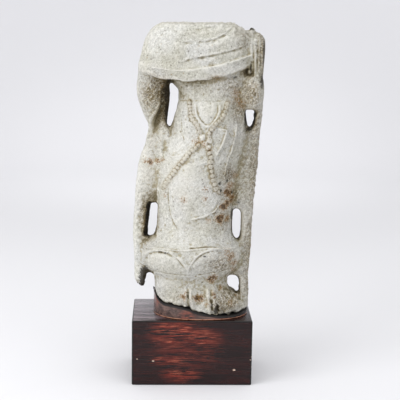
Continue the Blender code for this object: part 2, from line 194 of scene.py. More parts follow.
paper, tree, shader = new_material("matte_backdrop_paper")
shader.inputs["Base Color"].default_value = linear("#e7e7ea")
shader.inputs["Roughness"].default_value = 0.75
studio.data.materials.append(paper)

# %% Light the studio
LAMP_AIM = Vector((0, 0, 320)) * MM
LAMPS = {
    "key_softbox": {"place": (-2.1, -1.5, 1.5), "size": 1.8, "watts": 45},
    "front_softbox": {"place": (0.3, -0.9, 2.6), "size": 2.4, "watts": 27},
}
for name, lamp in LAMPS.items():
    place = Vector(lamp["place"])
    turn = (LAMP_AIM - place).to_track_quat("-Z", "Y").to_euler()
    bpy.ops.object.light_add(type="AREA", location=place, rotation=turn)
    light = bpy.context.active_object
    light.name = name
    light.data.size = lamp["size"]
    light.data.energy = lamp["watts"]
    print(name, lamp["watts"], "W,", round((LAMP_AIM - place).length, 2), "m away")

BACKDROP_AIM = Vector((0.03, 2.3, 0.05))
backdrop_place = Vector((0.03, 1.0, 2.4))
turn = (BACKDROP_AIM - backdrop_place).to_track_quat("-Z", "Y").to_euler()
bpy.ops.object.light_add(type="SPOT", location=backdrop_place, rotation=turn)
backdrop_lamp = bpy.context.active_object
backdrop_lamp.name = "backdrop_lamp"
backdrop_lamp.data.energy = 62
backdrop_lamp.data.spot_size = math.radians(46)
backdrop_lamp.data.spot_blend = 1.0
backdrop_lamp.data.shadow_soft_size = 0.3
print("the backdrop lamp shines on the cove behind the figure")

world = bpy.data.worlds.new("soft_sky")
world.use_nodes = True
world.node_tree.nodes["Background"].inputs["Color"].default_value = linear("#f8f8f8")
world.node_tree.nodes["Background"].inputs["Strength"].default_value = 0.76
bpy.context.scene.world = world
bpy.context.scene.view_settings.view_transform = "Standard"

# %% [markdown]
# ## The stone's skin
#
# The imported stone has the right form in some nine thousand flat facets. A carver's surface has no
# facets, and cut lines need vertices to sink into. So the copy is merged, rounded by one
# level of subdivision, and given an even skin of small squares by a voxel remesh. A remesh is the
# quick way to an even skin on a body with holes through it. A few smoothing passes then take off
# the last of the facets.

# %% Give the stone an even skin
SKIN = 2.3 * MM
SKIN_SMOOTHING = 4


def copy_of(node, name):
    """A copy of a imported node's mesh as a new object, with its loose triangles joined up."""
    piece = bpy.data.objects.new(name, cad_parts[node].data.copy())
    piece.data.materials.clear()
    bpy.context.scene.collection.objects.link(piece)
    only(piece)
    bpy.ops.object.mode_set(mode="EDIT")
    bpy.ops.mesh.select_all(action="SELECT")
    bpy.ops.mesh.remove_doubles(threshold=0.01 * MM)
    bpy.ops.object.mode_set(mode="OBJECT")
    return piece


def apply_modifier(piece, kind, **settings):
    """Adds a modifier, sets it up and works it into the mesh."""
    only(piece)
    step = piece.modifiers.new(kind.lower(), kind)
    for name, value in settings.items():
        setattr(step, name, value)
    bpy.ops.object.modifier_apply(modifier=step.name)


stone = copy_of("stone_torso", "stone_figure")
apply_modifier(stone, "SUBSURF", levels=1, render_levels=1)
apply_modifier(stone, "REMESH", mode="VOXEL", voxel_size=SKIN)
apply_modifier(stone, "SMOOTH", factor=0.5, iterations=SKIN_SMOOTHING)
print("stone skin:", len(stone.data.vertices), "vertices")

# %% [markdown]
# ### Piercing the gaps
#
# The even skin has rounded the corners of the gaps between the scarf and the body. A carver
# pierces such a gap from the front, with a straight tool held in the line of sight. So each gap's
# outline, as x and height above the block in millimetres, becomes a cutter that follows that
# line, a little wider in front where a side of the gap is cut at a slant. Each cutter starts as a
# cylinder with as many sides as the outline has points. A second, lighter remesh heals the cuts,
# and rounds the corners again, so they are drawn a millimetre or two past their place.

# %% Pierce the gaps
CUT_BACK, CUT_FRONT = 90, -90
PIERCED_SMOOTHING = 2
GAPS = [
    {"outline": [(-40, 382), (-31, 374), (-25, 368), (-24.6, 350), (-28, 335), (-33.6, 319), (-37.5, 305),
                 (-43.5, 311), (-42, 328.5), (-40.6, 345), (-39, 361)], "wider": (0, 0), "slant": (0, -20)},
    {"outline": [(83.8, 336), (99.2, 336.3), (97, 325), (95.3, 313.5), (92.8, 307.8), (88.6, 308.2), (85.8, 319)],
     "wider": (2, 0), "slant": (4, -18)},
    {"outline": [(-68.5, 181.8), (-56.6, 181.8), (-57, 175), (-58.2, 146.5), (-60.8, 134), (-64, 127.5),
                 (-74.2, 125.6), (-74, 132), (-71.6, 156), (-70.2, 167)], "wider": (6, 0), "slant": (2, -12)},
    {"outline": [(67, 171.6), (72.3, 173.2), (78, 171.8), (79.6, 166), (79.6, 139), (77.6, 125), (74, 121.8),
                 (70, 123.6), (66.4, 134), (65.8, 148.5), (66.6, 161.7)], "wider": (2, 0), "slant": (4, -16)},
    {"outline": [(59, 59.2), (66, 60.8), (74.6, 60), (78.6, 55), (79.6, 45), (79, 28.5), (68.5, 37.2), (59, 43.5)],
     "wider": (0, 1), "slant": (4, -16)},
]


def gap_cutter(gap):
    """A cutter along the line of sight: narrow behind, and as much wider in front as the gap asks."""
    outline = [Vector((x, 0, z)) * MM + Vector((0, 0, BLOCK_TOP)) for x, z in gap["outline"]]
    middle = sum(outline, Vector()) / len(outline)
    sight = middle - CAMERA_PLACE
    sight /= sight.y
    bpy.ops.object.select_all(action="DESELECT")
    bpy.ops.mesh.primitive_cylinder_add(vertices=len(outline), radius=1, depth=2)
    tool = bpy.context.active_object
    bpy.ops.object.mode_set(mode="EDIT")
    bpy.ops.mesh.select_all(action="SELECT")
    for height in (-0.3, 0.3):
        bpy.ops.mesh.bisect(plane_co=(0, 0, height), plane_no=(0, 0, 1))
        bpy.ops.mesh.select_all(action="SELECT")
    bpy.ops.object.mode_set(mode="OBJECT")
    depths = (CUT_BACK, gap["slant"][0], gap["slant"][1], CUT_FRONT)
    rings = [sorted((v for v in tool.data.vertices if round(v.co.z, 1) == level),
                    key=lambda v: math.atan2(v.co.y, v.co.x + 0.001 * v.co.y) % math.tau)
             for level in (-1, -0.3, 0.3, 1)]
    for number, (ring, depth) in enumerate(zip(rings, depths)):
        for vertex, point in zip(ring, outline):
            side = 0 if point.x < middle.x else 1
            aside = (-1, 1)[side] * gap["wider"][side] * MM * (number > 1)
            vertex.co = point + sight * depth * MM + Vector((aside, 0, 0))
    only(tool)
    bpy.ops.object.mode_set(mode="EDIT")
    bpy.ops.mesh.select_all(action="SELECT")
    bpy.ops.mesh.normals_make_consistent(inside=False)
    bpy.ops.object.mode_set(mode="OBJECT")
    return tool


for gap in GAPS:
    tool = gap_cutter(gap)
    apply_modifier(stone, "BOOLEAN", operation="DIFFERENCE", solver="EXACT", object=tool)
    bpy.data.objects.remove(tool)
apply_modifier(stone, "REMESH", mode="VOXEL", voxel_size=SKIN)
apply_modifier(stone, "SMOOTH", factor=0.5, iterations=PIERCED_SMOOTHING)
print(len(GAPS), "gaps pierced; the skin has", len(stone.data.vertices), "vertices")

# %% [markdown]
# ## Drawing on the stone
#
# Every carved line is drawn as a carver would chalk it: a few points on the front, as x and
# height above the block in millimetres, joined by a smooth curve. For each vertex the drawing
# functions give the distance to the line and how far along the line it lies. Those two numbers
# are enough for a groove, a ridge, a lap of cloth or a string of beads.

# %% Measure the skin against a drawn line
FAR = 30.0


def curve_through(points, steps=8):
    """A smooth curve through the points, a few short steps in each span."""
    p = np.array(points, float)
    p = np.vstack([2 * p[0] - p[1], p, 2 * p[-1] - p[-2]])
    out = []
    for k in range(1, len(p) - 2):
        for t in np.arange(steps) / steps:
            out.append(0.5 * (
                2 * p[k] + (p[k + 1] - p[k - 1]) * t
                + (2 * p[k - 1] - 5 * p[k] + 4 * p[k + 1] - p[k + 2]) * t * t
                + (3 * p[k] - p[k - 1] - 3 * p[k + 1] + p[k + 2]) * t ** 3
            ))
    return np.array(out + [p[-2]])


def measure(drawn, line):
    """Each point's distance from a line, below 0 on its right, its way along it, and the length."""
    path = curve_through(line)
    close = np.all((drawn > path.min(0) - FAR) & (drawn < path.max(0) + FAR), axis=1)
    spots = drawn[close]
    nearest = np.full(len(spots), FAR)
    signed, way = np.full(len(spots), FAR), np.zeros(len(spots))
    walked = 0.0
    for a, b in zip(path, path[1:]):
        run = b - a
        length = np.hypot(*run)
        share = np.clip(((spots - a) @ run) / (run @ run), 0, 1)
        offset = spots - a - share[:, None] * run
        gap = np.hypot(offset[:, 0], offset[:, 1])
        on_right = run[0] * offset[:, 1] < run[1] * offset[:, 0]
        near = gap < nearest
        nearest[near] = gap[near]
        signed[near] = np.where(on_right, -gap, gap)[near]
        way[near] = (walked + share * length)[near]
        walked += length
    all_signed, all_way = np.full(len(drawn), FAR), np.zeros(len(drawn))
    all_signed[close], all_way[close] = signed, way
    return all_signed, all_way, walked


def mound(t):
    """1 at 0 and almost nothing past 2, with soft sides."""
    return np.exp(-t * t)


def ease(t):
    """0 up to 0, 1 from 1 on, and a smooth climb between."""
    t = np.clip(t, 0, 1)
    return t * t * (3 - 2 * t)


def skin_places(piece):
    """The vertices in millimetres, with heights counted from the block's top."""
    count = len(piece.data.vertices)
    places = np.empty(count * 3, np.float32)
    piece.data.vertices.foreach_get("co", places)
    return places.reshape(-1, 3).astype(float) / MM - (0, 0, BLOCK_TOP / MM)


def skin_facing(piece):
    """Which way each vertex faces."""
    facing = np.empty(len(piece.data.vertices) * 3, np.float32)
    piece.data.vertex_normals.foreach_get("vector", facing)
    return facing.reshape(-1, 3).astype(float)


def move_skin(piece, places):
    """Puts the vertices where these millimetre places say."""
    moved = (places + (0, 0, BLOCK_TOP / MM)) * MM
    piece.data.vertices.foreach_set("co", moved.astype(np.float32).ravel())
    piece.data.update()


print("the stone reaches from", skin_places(stone).min(0).round(), "to", skin_places(stone).max(0).round())

# %% [markdown]
# ## The carved lines
#
# The lists follow the real carving from the shoulders down: the stole's sagging folds and its
# bordered edge, the sash loop and the crossed bead chains, the folds of the skirt, the hem with
# its two laps, and the pleats over the feet. A chain also has the spacing and the size of its
# beads, because the carver didn't cut the four strings alike.

# %% Chalk the carving
STOLE_FOLDS = [
    [(-12, 464.5), (0, 465), (14, 467), (28, 470), (37, 475)],
    [(-24, 444.5), (0, 444), (22, 447.5), (34, 451), (45, 457), (53, 463), (60, 471.5)],
    [(-32, 409), (-12, 417), (6, 421), (25, 424.5), (41, 428), (65, 434.5), (85, 442)],
]
STOLE_BORDER = [(93, 428), (75, 421.5), (57, 416), (35, 410), (14, 406), (-9, 402.5), (-36, 401.5),
                (-71, 405)]
STOLE_UNDERCUT = [(52, 392.5), (62, 395), (72, 398), (80, 401), (89, 406)]
STOLE_SLIT = [(88.8, 416), (89.2, 398)]
CHAINS = [
    ([(-7.7, 353), (-7.5, 343), (-6.5, 331), (-2, 322), (4, 314), (9, 304)], 5.4, 2.9),
    ([(52, 352), (47, 338), (42.5, 327.5), (35, 319), (28.5, 312), (24, 304), (22.5, 297)], 6.0, 3.2),
    ([(8, 287), (-7, 272), (-15, 263), (-29, 245), (-42.5, 224), (-48, 213)], 6.2, 3.3),
    ([(22.8, 276), (25.3, 266), (26.3, 250), (28, 239), (33, 219.5), (41, 208)], 7.4, 3.7),
]
BOSSES = [(12, 297.3, 5.0), (23.3, 292, 4.8), (16.4, 286.5, 4.0), (22, 280.6, 4.2)]
SASH_RIBBON = [(-0.3, 353), (1.3, 337), (5.2, 326), (11.5, 317.5), (19.5, 313.8), (27.5, 316.5),
               (33.8, 325), (38, 335), (38.9, 343), (39, 353)]
SASH_INSIDE = [(2.2, 352), (3.8, 337.5), (7.5, 327.5), (13.3, 320), (19.5, 317), (25.5, 319.5),
               (31, 326.5), (34.8, 335.5), (35.6, 343), (35.3, 352)]
BELT = [(-27, 351.5), (-8, 353.5), (16, 353.5), (36, 353.5), (56, 355.5)]
ARC_CUTS = [
    [(-21.4, 327), (-20.8, 312.5), (-19.6, 302), (-17, 293), (-12, 285)],
    [(-41.4, 226), (-41, 210), (-40.6, 194), (-37.5, 174.5), (-32.5, 158.5), (-23, 145)],
]
FOLD_CRESTS = [
    ([(-46, 267), (-38, 264.5), (-30, 264.5), (-22.5, 267), (-12, 272)], 0.7),
    ([(37, 308.6), (44.5, 309), (49.7, 307), (48, 297.5), (45, 288), (39.5, 277), (32, 265)], 1.0),
    ([(67, 320), (65.5, 305), (63.5, 292), (60.5, 281), (57.5, 270), (53.5, 259), (50.5, 247.5),
      (47, 232)], 1.0),
    ([(42, 192), (37, 182), (31, 176), (18, 170), (5.6, 166.4), (-8, 164)], 1.1),
    ([(0, 250.5), (12, 255.7), (24, 260)], 0.6),
    ([(-3, 182), (3.6, 191.5), (12, 201)], 0.4),
    ([(46, 152), (37, 138)], 0.5),
]
SCARF_CREASES = [
    [(-82, 252), (-76, 249), (-70, 250.5), (-62, 248), (-52, 255)],
    [(-74.7, 212), (-66.7, 208), (-54, 208), (-44, 209)],
    [(-70, 300), (-60, 292), (-52, 280)],
    [(-76, 286), (-66, 276), (-58, 262)],
]
HEM_RIM = [(-78, 112.5), (-61, 116.3), (-45, 117), (-29, 116.3), (-13, 116.3), (2.6, 118), (18.6, 119),
           (34.6, 118.5), (56, 116.6), (72, 116.5)]
HEM_FOOT = [(-91, 89.5), (-84, 81), (-69, 76.5), (-45, 75), (-28.6, 74), (-4.6, 74), (16.3, 75),
            (35.6, 78.6), (52, 81.2), (66, 83)]
HEM_DASHES = [(-10, 119.6), (7.4, 120.8), (20.3, 121.8), (38, 120.5)]
HEM_LAPS = [
    [(-80, 90), (-74, 104.3), (-67.5, 109.7), (-61, 112.2), (-51.4, 113.4), (-40.2, 111.6), (-29, 106.2),
     (-19.5, 98.6), (-9, 84)],
    [(-8, 80), (-4.2, 91.7), (1.2, 100.4), (5.9, 106), (10.7, 109.8), (17, 113.4), (23.4, 115.9),
     (36, 117.5)],
]
TIER_PLEATS = [
    ([(-10, 52), (-11.4, 36), (-12, 18)], 1.5, 1.8),
    ([(-4, 55), (-3, 38), (0.5, 12)], 2.2, 2.2),
    ([(24.6, 55), (25.6, 37), (28, 6)], 2.4, 2.6),
    ([(32.6, 52), (34.4, 32), (38.4, 8)], 2.0, 1.6),
]
PLEAT_VALLEYS = [
    [(-7.4, 52), (-7.4, 36), (-5.2, 16)],
    [(29, 50), (30, 31), (33, 10)],
    [(38, 42), (40, 24), (43, 8)],
]
SLEEVE_EDGE = [(-53, 351), (-58, 341), (-62.7, 333), (-67.5, 325), (-72.5, 314)]
FOREARM_FOLDS = [
    [(92.9, 444), (93.3, 388)], [(99.5, 456), (99.8, 392)], [(105.8, 452), (106.8, 400)],
]
BACK_FOLDS = [
    [(-90, 425), (-45, 409), (5, 404), (50, 411), (92, 429)],
    [(-84, 446), (-40, 434), (5, 430), (50, 437), (84, 450)],
    [(-30, 350), (20, 346), (70, 352)],
    [(-40, 300), (-4, 250), (20, 236), (46, 250), (84, 300)],
    [(-52, 240), (-16, 196), (6, 186), (28, 196), (66, 236)],
    [(-56, 184), (-20, 152), (4, 146), (28, 152), (64, 184)],
    [(-80, 116), (-40, 110), (0, 108), (40, 110), (80, 116)],
]
FRONT_LINES = (
    STOLE_FOLDS + ARC_CUTS + SCARF_CREASES + HEM_LAPS + PLEAT_VALLEYS + FOREARM_FOLDS
    + [STOLE_BORDER, STOLE_UNDERCUT, STOLE_SLIT, SASH_RIBBON, BELT, HEM_RIM, HEM_FOOT, SLEEVE_EDGE]
    + [entry[0] for entry in CHAINS + FOLD_CRESTS + TIER_PLEATS]
)
print(len(FRONT_LINES), "lines in front and", len(BACK_FOLDS), "behind")

# %% [markdown]
# ### More vertices along the lines
#
# A groove two millimetres wide can't be cut into squares of two millimetres. Only the faces close
# to a front line are subdivided, so the mesh stays light where the stone is plain.

# %% Refine the skin along the front lines
REFINE_REACH = 4.6

places, facing = skin_places(stone), skin_facing(stone)
lines_near = np.min([np.abs(measure(places[:, [0, 2]], line)[0]) for line in FRONT_LINES], axis=0)
wanted = (lines_near < REFINE_REACH) & (facing[:, 1] < -0.15)
picked = [face.index for face in stone.data.polygons if wanted[list(face.vertices)].all()]
select_parts(stone, "FACE", picked)
bpy.ops.mesh.subdivide(number_cuts=1, smoothness=0.6)
bpy.ops.object.mode_set(mode="OBJECT")
print(len(picked), "faces split, now", len(stone.data.vertices), "vertices")

# %% [markdown]
# ### Cutting
#
# The relief is one height for every vertex, built up stroke by stroke, and the skin is then moved
# that far along its own normal. Front strokes fade out where the surface turns to the side, so
# that nothing smears round an edge. A hand never cuts a line evenly, so each stroke thins out
# towards its ends, and a slow noise makes it bite deeper here and fade there.

# %% Kinds of stroke
FADE = 0.35
TAPER = 10.0
UNEVEN, UNEVEN_SIZE = 1.15, 8.0


def noise_over(places, size, shift=0.0):
    """Smooth noise over the places, about -0.5 to 0.5, with lumps of this size in millimetres."""
    return np.array([noise.noise(Vector(p)) for p in places / size + shift])


def stroke(drawn, line, half_width):
    """1 on the line, fading to both sides and to both ends."""
    signed, way, length = measure(drawn, line)
    return mound(signed / half_width) * ease(way / TAPER) * ease((length - way) / TAPER)


def lap(drawn, line, rise, reach, step=0.8):
    """Cloth over cloth: the line's left side stands proud, with a sharp step at the line."""
    signed, way, length = measure(drawn, line)
    ends = ease(way / TAPER) * ease((length - way) / TAPER)
    return ends * (rise * np.tanh(signed / step) * mound(signed / reach) - 0.5 * rise * mound(signed / 1.2))


def beads(drawn, line, pitch, radius, seed):
    """A string of hand-cut beads that differ in size: its height, the string's share and its gaps."""
    signed, way, length = measure(drawn, line)
    number = np.clip(way // pitch, 0, length // pitch).astype(int)
    random = np.random.default_rng(seed)
    size, rise, aside = (random.uniform(low, high, int(length // pitch) + 1)[number]
                         for low, high in ((0.85, 1.15), (0.45, 1.15), (-0.7, 0.7)))
    along = way - (number + 0.5) * pitch
    from_middle = np.hypot(signed - aside, along * 0.92) / (radius * size)
    dome = BEAD_RISE * rise * np.sqrt(np.clip(1 - from_middle ** 2, 0, 1))
    string = mound(signed / (radius + 1.2)) * (np.abs(signed) < radius + 3)
    beside = mound((np.abs(signed) - radius - 0.8) / 1.1)
    between = ease((from_middle - 0.8) / 0.3) * mound(signed / (0.85 * radius)) * string
    return dome - STRING_CUT * between, np.maximum(string, beside), between


print("a stroke tapers over", TAPER, "mm at each end")

# %% Cut the front and the back
BEAD_RISE, STRING_CUT = 2.4, 1.0
BOSS_RISE = 1.7
UNDERCUT_DEPTH, SLIT_DEPTH = 1.6, 2.0


def front_relief(drawn):
    """All the strokes on the front, added up."""
    height = sum(lap(drawn, line, 1.3, 6, step=0.6) - 0.4 * stroke(drawn, line, 1.0) for line in STOLE_FOLDS)
    height += lap(drawn, STOLE_BORDER, 1.3, 7) * ease((drawn[:, 0] + 60) / 70)
    height += 1.1 * stroke(drawn, STOLE_BORDER, 1.2)
    height -= UNDERCUT_DEPTH * stroke(drawn, STOLE_UNDERCUT, 2.6)
    height -= SLIT_DEPTH * stroke(drawn, STOLE_SLIT, 1.4)
    height += 1.4 * stroke(drawn, SASH_RIBBON, 1.6) - 0.7 * stroke(drawn, SASH_INSIDE, 0.9)
    height -= 0.5 * stroke(drawn, BELT, 1.2)
    height -= sum(1.1 * stroke(drawn, line, 1.0) for line in ARC_CUTS)
    height += sum(1.9 * rise * stroke(drawn, line, 1.2) for line, rise in FOLD_CRESTS)
    height += sum(0.6 * stroke(drawn, line, 2.0) for line in SCARF_CREASES)
    height += 1.9 * stroke(drawn, HEM_RIM, 0.9) - 1.2 * stroke(drawn, HEM_DASHES, 1.0)
    height -= 0.9 * stroke(drawn, HEM_FOOT, 1.5)
    height += sum(lap(drawn, line, 1.5, 6) + 1.7 * stroke(drawn, line, 1.1) for line in HEM_LAPS)
    height += sum(rise * stroke(drawn, line, width) for line, rise, width in TIER_PLEATS)
    height -= sum(1.4 * stroke(drawn, line, 1.5) for line in PLEAT_VALLEYS)
    height += 1.6 * stroke(drawn, SLEEVE_EDGE, 2.2)
    height += sum(lap(drawn, line, 1.5, 3) for line in FOREARM_FOLDS)
    height *= 1 + UNEVEN * noise_over(places, UNEVEN_SIZE, 20)
    for number, (line, pitch, radius) in enumerate(CHAINS):
        strung, share, _ = beads(drawn, line, pitch, radius, number)
        height = height * (1 - share) + strung
    for x, z, radius in BOSSES:
        from_middle = np.hypot(drawn[:, 0] - x, drawn[:, 1] - z) / radius
        dome = BOSS_RISE * np.sqrt(np.clip(1 - from_middle ** 2, 0, 1)) - 0.8 * mound(from_middle / 0.3)
        height = np.where(from_middle < 1, dome, height - 0.8 * mound((from_middle - 1.2) / 0.2))
    return height


places, facing = skin_places(stone), skin_facing(stone)
drawn = places[:, [0, 2]]
relief = front_relief(drawn) * ease(-facing[:, 1] / FADE)
relief -= sum(lap(drawn, line, 0.7, 8) for line in BACK_FOLDS) * ease(facing[:, 1] / FADE)
move_skin(stone, places + facing * relief[:, None])
print("relief from", round(relief.min(), 2), "to", round(relief.max(), 2), "mm")

# %% [markdown]
# ### Hollows beside the gaps
#
# Next to the gaps the strands of stone are cut away at a slant, so they turn from the light and
# go dark towards the edge. Each slope is a place where the front is pushed straight back, more
# and more from one side to the other. The notch in the pleats is a small hollow of the same kind.
# Where a notch has a depth below zero the stone is filled out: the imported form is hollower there,
# beside the arms, than the real one.

# %% Push the slopes back
SLOPES = [
    {"left": -66, "right": -40, "low": 302, "high": 352, "fade": 9, "slant": 0.8, "depth": 2.5},
    {"left": -84, "right": -62, "low": 128, "high": 222, "fade": 44, "slant": 0.0, "depth": 6.0},
    {"left": -86, "right": -66, "low": 34, "high": 80, "fade": 14, "slant": 0.0, "depth": 6.0},
]
NOTCHES = [
    (41.5, 15, 3.4, 8, 2.6), (86, 307, 7, 8, 2.5), (45, 7, 6, 4, 1.5),
    (-50, 366, 17, 24, -8.0), (88, 432, 3, 18, -3.0), (76, 366, 5, 24, -3.0),
    (-53, 262, 6, 46, -4.0), (-42, 291, 7, 22, -7.0),
]
FILLS = [(87, 398, 8, 9, -32)]
FILL_BEND = 12
SIDE_TRIM = 1.8
NECK_BREAK = 473.5

places, facing = skin_places(stone), skin_facing(stone)
x, z = places[:, 0], places[:, 2]
front = ease(-facing[:, 1] / FADE)
pushed = np.zeros(len(places))
for slope in SLOPES:
    across = (x - slope["left"]) / (slope["right"] - slope["left"])
    low = slope["low"] + slope["slant"] * np.clip(x - slope["left"], 0, 16)
    inside = ease((z - low) / 5) * ease((slope["high"] - z) / slope["fade"]) * (across < 1.15)
    pushed += slope["depth"] * ease(across) * inside
for middle_x, middle_z, wide, tall, depth in NOTCHES:
    pushed += depth * mound(np.hypot((x - middle_x) / wide, (z - middle_z) / tall))
places[:, 1] += pushed * front
for middle_x, middle_z, wide, tall, depth in FILLS:
    spread = np.hypot((x - middle_x) / wide, (z - middle_z) / tall)
    cap = depth + FILL_BEND * spread ** 2
    hollow = (spread < 1.3) & (places[:, 1] > cap) & (facing[:, 1] < 0.3)
    places[hollow, 1] = cap[hollow]
over_width = ease((places[:, 0] - 98) / 8) * ease((z - 380) / 10)
places[:, 0] -= SIDE_TRIM * over_width
proud = (z > NECK_BREAK) & (places[:, 0] < 50)
places[proud, 2] = NECK_BREAK + 0.35 * (z[proud] - NECK_BREAK)
move_skin(stone, places)
print("pushed back by up to", round((pushed * front).max(), 1), "mm")

# %% [markdown]
# ## Breaks and weather
#
# Head, hands and feet are broken away, and the breaks are rough where the carved cloth is smooth.
# The rest has centuries of weather: a slow waviness, a grainy skin and round pits where crystals
# fell out. Each is a noise with its own size in millimetres. The rough parts are picked by place
# and by the way that they face. The carver left some hollows and edges as the point chisel made
# them, and those tooled places are rougher too.

# %% Roughen the breaks and weather the skin
BREAK_ROUGHNESS, BREAK_LUMP = 2.8, 7.0
WAVE_DEPTH, WAVE_SIZE = 0.8, 24.0
GRAIN_DEPTH, GRAIN_SIZE = 0.5, 4.2
PIT_DEPTH, PIT_SPACING, PIT_SHARE = 1.1, 15.0, 0.15
TOOLED_DEPTH, TOOLED_SIZE = 2.6, 6.0
TOOLED = [
    (-60, 350, 20, 30, 0.2), (102, 330, 12, 40, 0.6), (104, 170, 14, 150, 0.8), (60, 28, 34, 24, 1.0),
    (-80, 160, 10, 40, 1.0), (-80, 60, 10, 20, 1.0), (8, 36, 12, 14, 0.6), (50, 92, 30, 20, 0.5),
]


def stains(spots, places):
    """Soft round stains, each given by its place, its reach across and up, and its strength."""
    amount = np.zeros(len(places))
    for x, z, wide, tall, strength in spots:
        spread = np.hypot((places[:, 0] - x) / wide, (places[:, 2] - z) / tall)
        amount = np.maximum(amount, strength * mound(spread))
    return amount


def foot_line(x):
    """The height of the broken foot's edge at this x."""
    return np.interp(x, [-61, -58, -52, -47, -26, -4, 4, 21, 49, 86],
                     [39, 31, 26, 23.5, 22, 18, 14, 10, 5.8, 6.8])


def broken_share(places, facing):
    """How much of a break each vertex is, from 0 to 1."""
    x, y, z = places.T
    neck = ease((z - 470.5) / 3) * ease((facing[:, 2] - 0.35) / 0.3)
    shoulder = ease((x - 57) / 6) * ease((z - 448) / 8) * ease((facing[:, 2] - 0.1) / 0.3)
    foot = ease((foot_line(x) + 5 - z) / 5)
    stub = ease((56 - z) / 6) * ease((-60 - x) / 8)
    chipped_tier = mound((x - 50) / 12) * mound((z - 14) / 12) * ease(-facing[:, 1] / FADE)
    return np.clip(neck + shoulder + foot + stub + chipped_tier, 0, 1)


places, facing = skin_places(stone), skin_facing(stone)
broken = broken_share(places, facing)
lumps = noise_over(places, BREAK_LUMP, 120)
crumbs = noise_over(places, BREAK_LUMP / 2.6, 160)
fracture = BREAK_ROUGHNESS * (lumps + 0.5 * crumbs)
pit_distance = np.array([noise.voronoi(Vector(p))[0][0] for p in places / PIT_SPACING])
weather = WAVE_DEPTH * noise_over(places, WAVE_SIZE) + GRAIN_DEPTH * noise_over(places, GRAIN_SIZE, 40)
weather -= PIT_DEPTH * ease((PIT_SHARE - pit_distance) / 0.08)
weather += broken * (fracture - 0.4)
weather += TOOLED_DEPTH * noise_over(places, TOOLED_SIZE, 80) * stains(TOOLED, places)
move_skin(stone, places + facing * weather[:, None])
print("weather from", round(weather.min(), 2), "to", round(weather.max(), 2), "mm")
print(round(broken.mean() * 100), "% of the skin is broken")

# %% [markdown]
# ## Where painted shade, dirt, rust and wear settle
#
# The skin is darkened where it sees little of the sky, in hollows, gaps and undersides: painted
# shade, with some dirt. So rays are sent out from each vertex and the free ones are counted. Fine
# crests are found another way: the skin is smoothed in numbers, and what would sink is a crest.
# Crests are painted lighter, as wear and painted highlight, and grooves darker, as painted shade.
# Rust lies in a few known places, and so do grime and painted shade. All are stored on the
# vertices, because a colour that follows the shape can't come from a pattern in space.

# %% Count how much of the sky each vertex sees
RAYS, RAY_REACH, RAY_START = 40, 70 * MM, 0.8 * MM


def sky_seen(piece):
    """The share of the directions in front of each vertex that are free, weighed by how square they are."""
    tree = BVHTree.FromObject(piece, bpy.context.evaluated_depsgraph_get())
    facing = skin_facing(piece)
    starts = [v.co + Vector(n) * RAY_START for v, n in zip(piece.data.vertices, facing)]
    height = 1 - (np.arange(RAYS) + 0.5) * 2 / RAYS
    turn = np.arange(RAYS) * math.pi * (3 - math.sqrt(5))
    level = np.sqrt(1 - height ** 2)
    rays = np.stack([level * np.cos(turn), level * np.sin(turn), height], 1)
    square = facing @ rays.T
    free = np.zeros(len(starts))
    for number, ray in enumerate(rays):
        way = Vector(ray)
        for k in np.flatnonzero(square[:, number] > 0.1):
            if tree.ray_cast(starts[k], way, RAY_REACH)[0] is None:
                free[k] += square[k, number]
    return free / np.where(square > 0.1, square, 0).sum(1)


open_sky = sky_seen(stone)
print("the skin sees", round(open_sky.mean() * 100), "% of its sky on average")

# %% Store painted shade, dirt, rust and wear on the skin
RUST_STAINS = [
    (3, 290, 10, 0.5), (15, 286, 10, 0.5), (25, 280, 7, 0.45), (64, 366, 9, 0.5), (74, 348, 10, 0.5),
    (52, 208, 6, 0.9), (56, 205, 7, 1.0), (61, 192, 5, 0.9), (54, 189, 6, 1.0), (46, 185, 6, 0.9),
    (51, 182, 5, 0.9), (41, 167, 5, 1.0), (46, 167, 5, 1.0), (43, 160, 5, 1.0), (55, 164, 5, 0.8),
    (-16.5, 196, 7, 0.6), (28, 66, 6, 1.0), (34, 69, 7, 0.9), (31, 62, 5, 0.8), (60, 101, 6, 0.7),
    (63, 92, 5, 0.6), (7, 36, 6, 1.0), (12, 35, 6, 1.0), (15, 38, 5, 0.7), (1, 38, 4, 0.5),
    (34.5, 43, 4, 0.8), (36, 38, 3, 0.7), (-78, 254, 6, 0.6), (-70, 252, 7, 0.8), (-58, 254, 6, 0.7),
    (-50, 257, 5, 0.6), (-46, 201, 6, 0.5), (-51, 378, 12, 0.4), (34, 389, 9, 0.4),
    (53, 209, 5, 1.0), (63, 197, 5, 0.9), (49, 184, 7, 1.0), (41, 165, 7, 1.0), (54, 162, 5, 0.7),
    (19, 214, 6, 0.6), (18, 198, 6, 0.6), (24, 163, 6, 0.6), (62, 104, 8, 0.7), (68, 90, 8, 0.6),
    (-15, 38, 6, 0.8), (-12, 43, 4, 0.6), (58, 218, 9, 0.6), (68, 232, 7, 0.5), (54, 112, 9, 0.5),
    (66, 78, 7, 0.6), (46, 50, 6, 0.6), (24, 28, 6, 0.5), (62, 26, 7, 0.5), (74, 34, 6, 0.5),
    (66, 358, 11, 0.5),
]
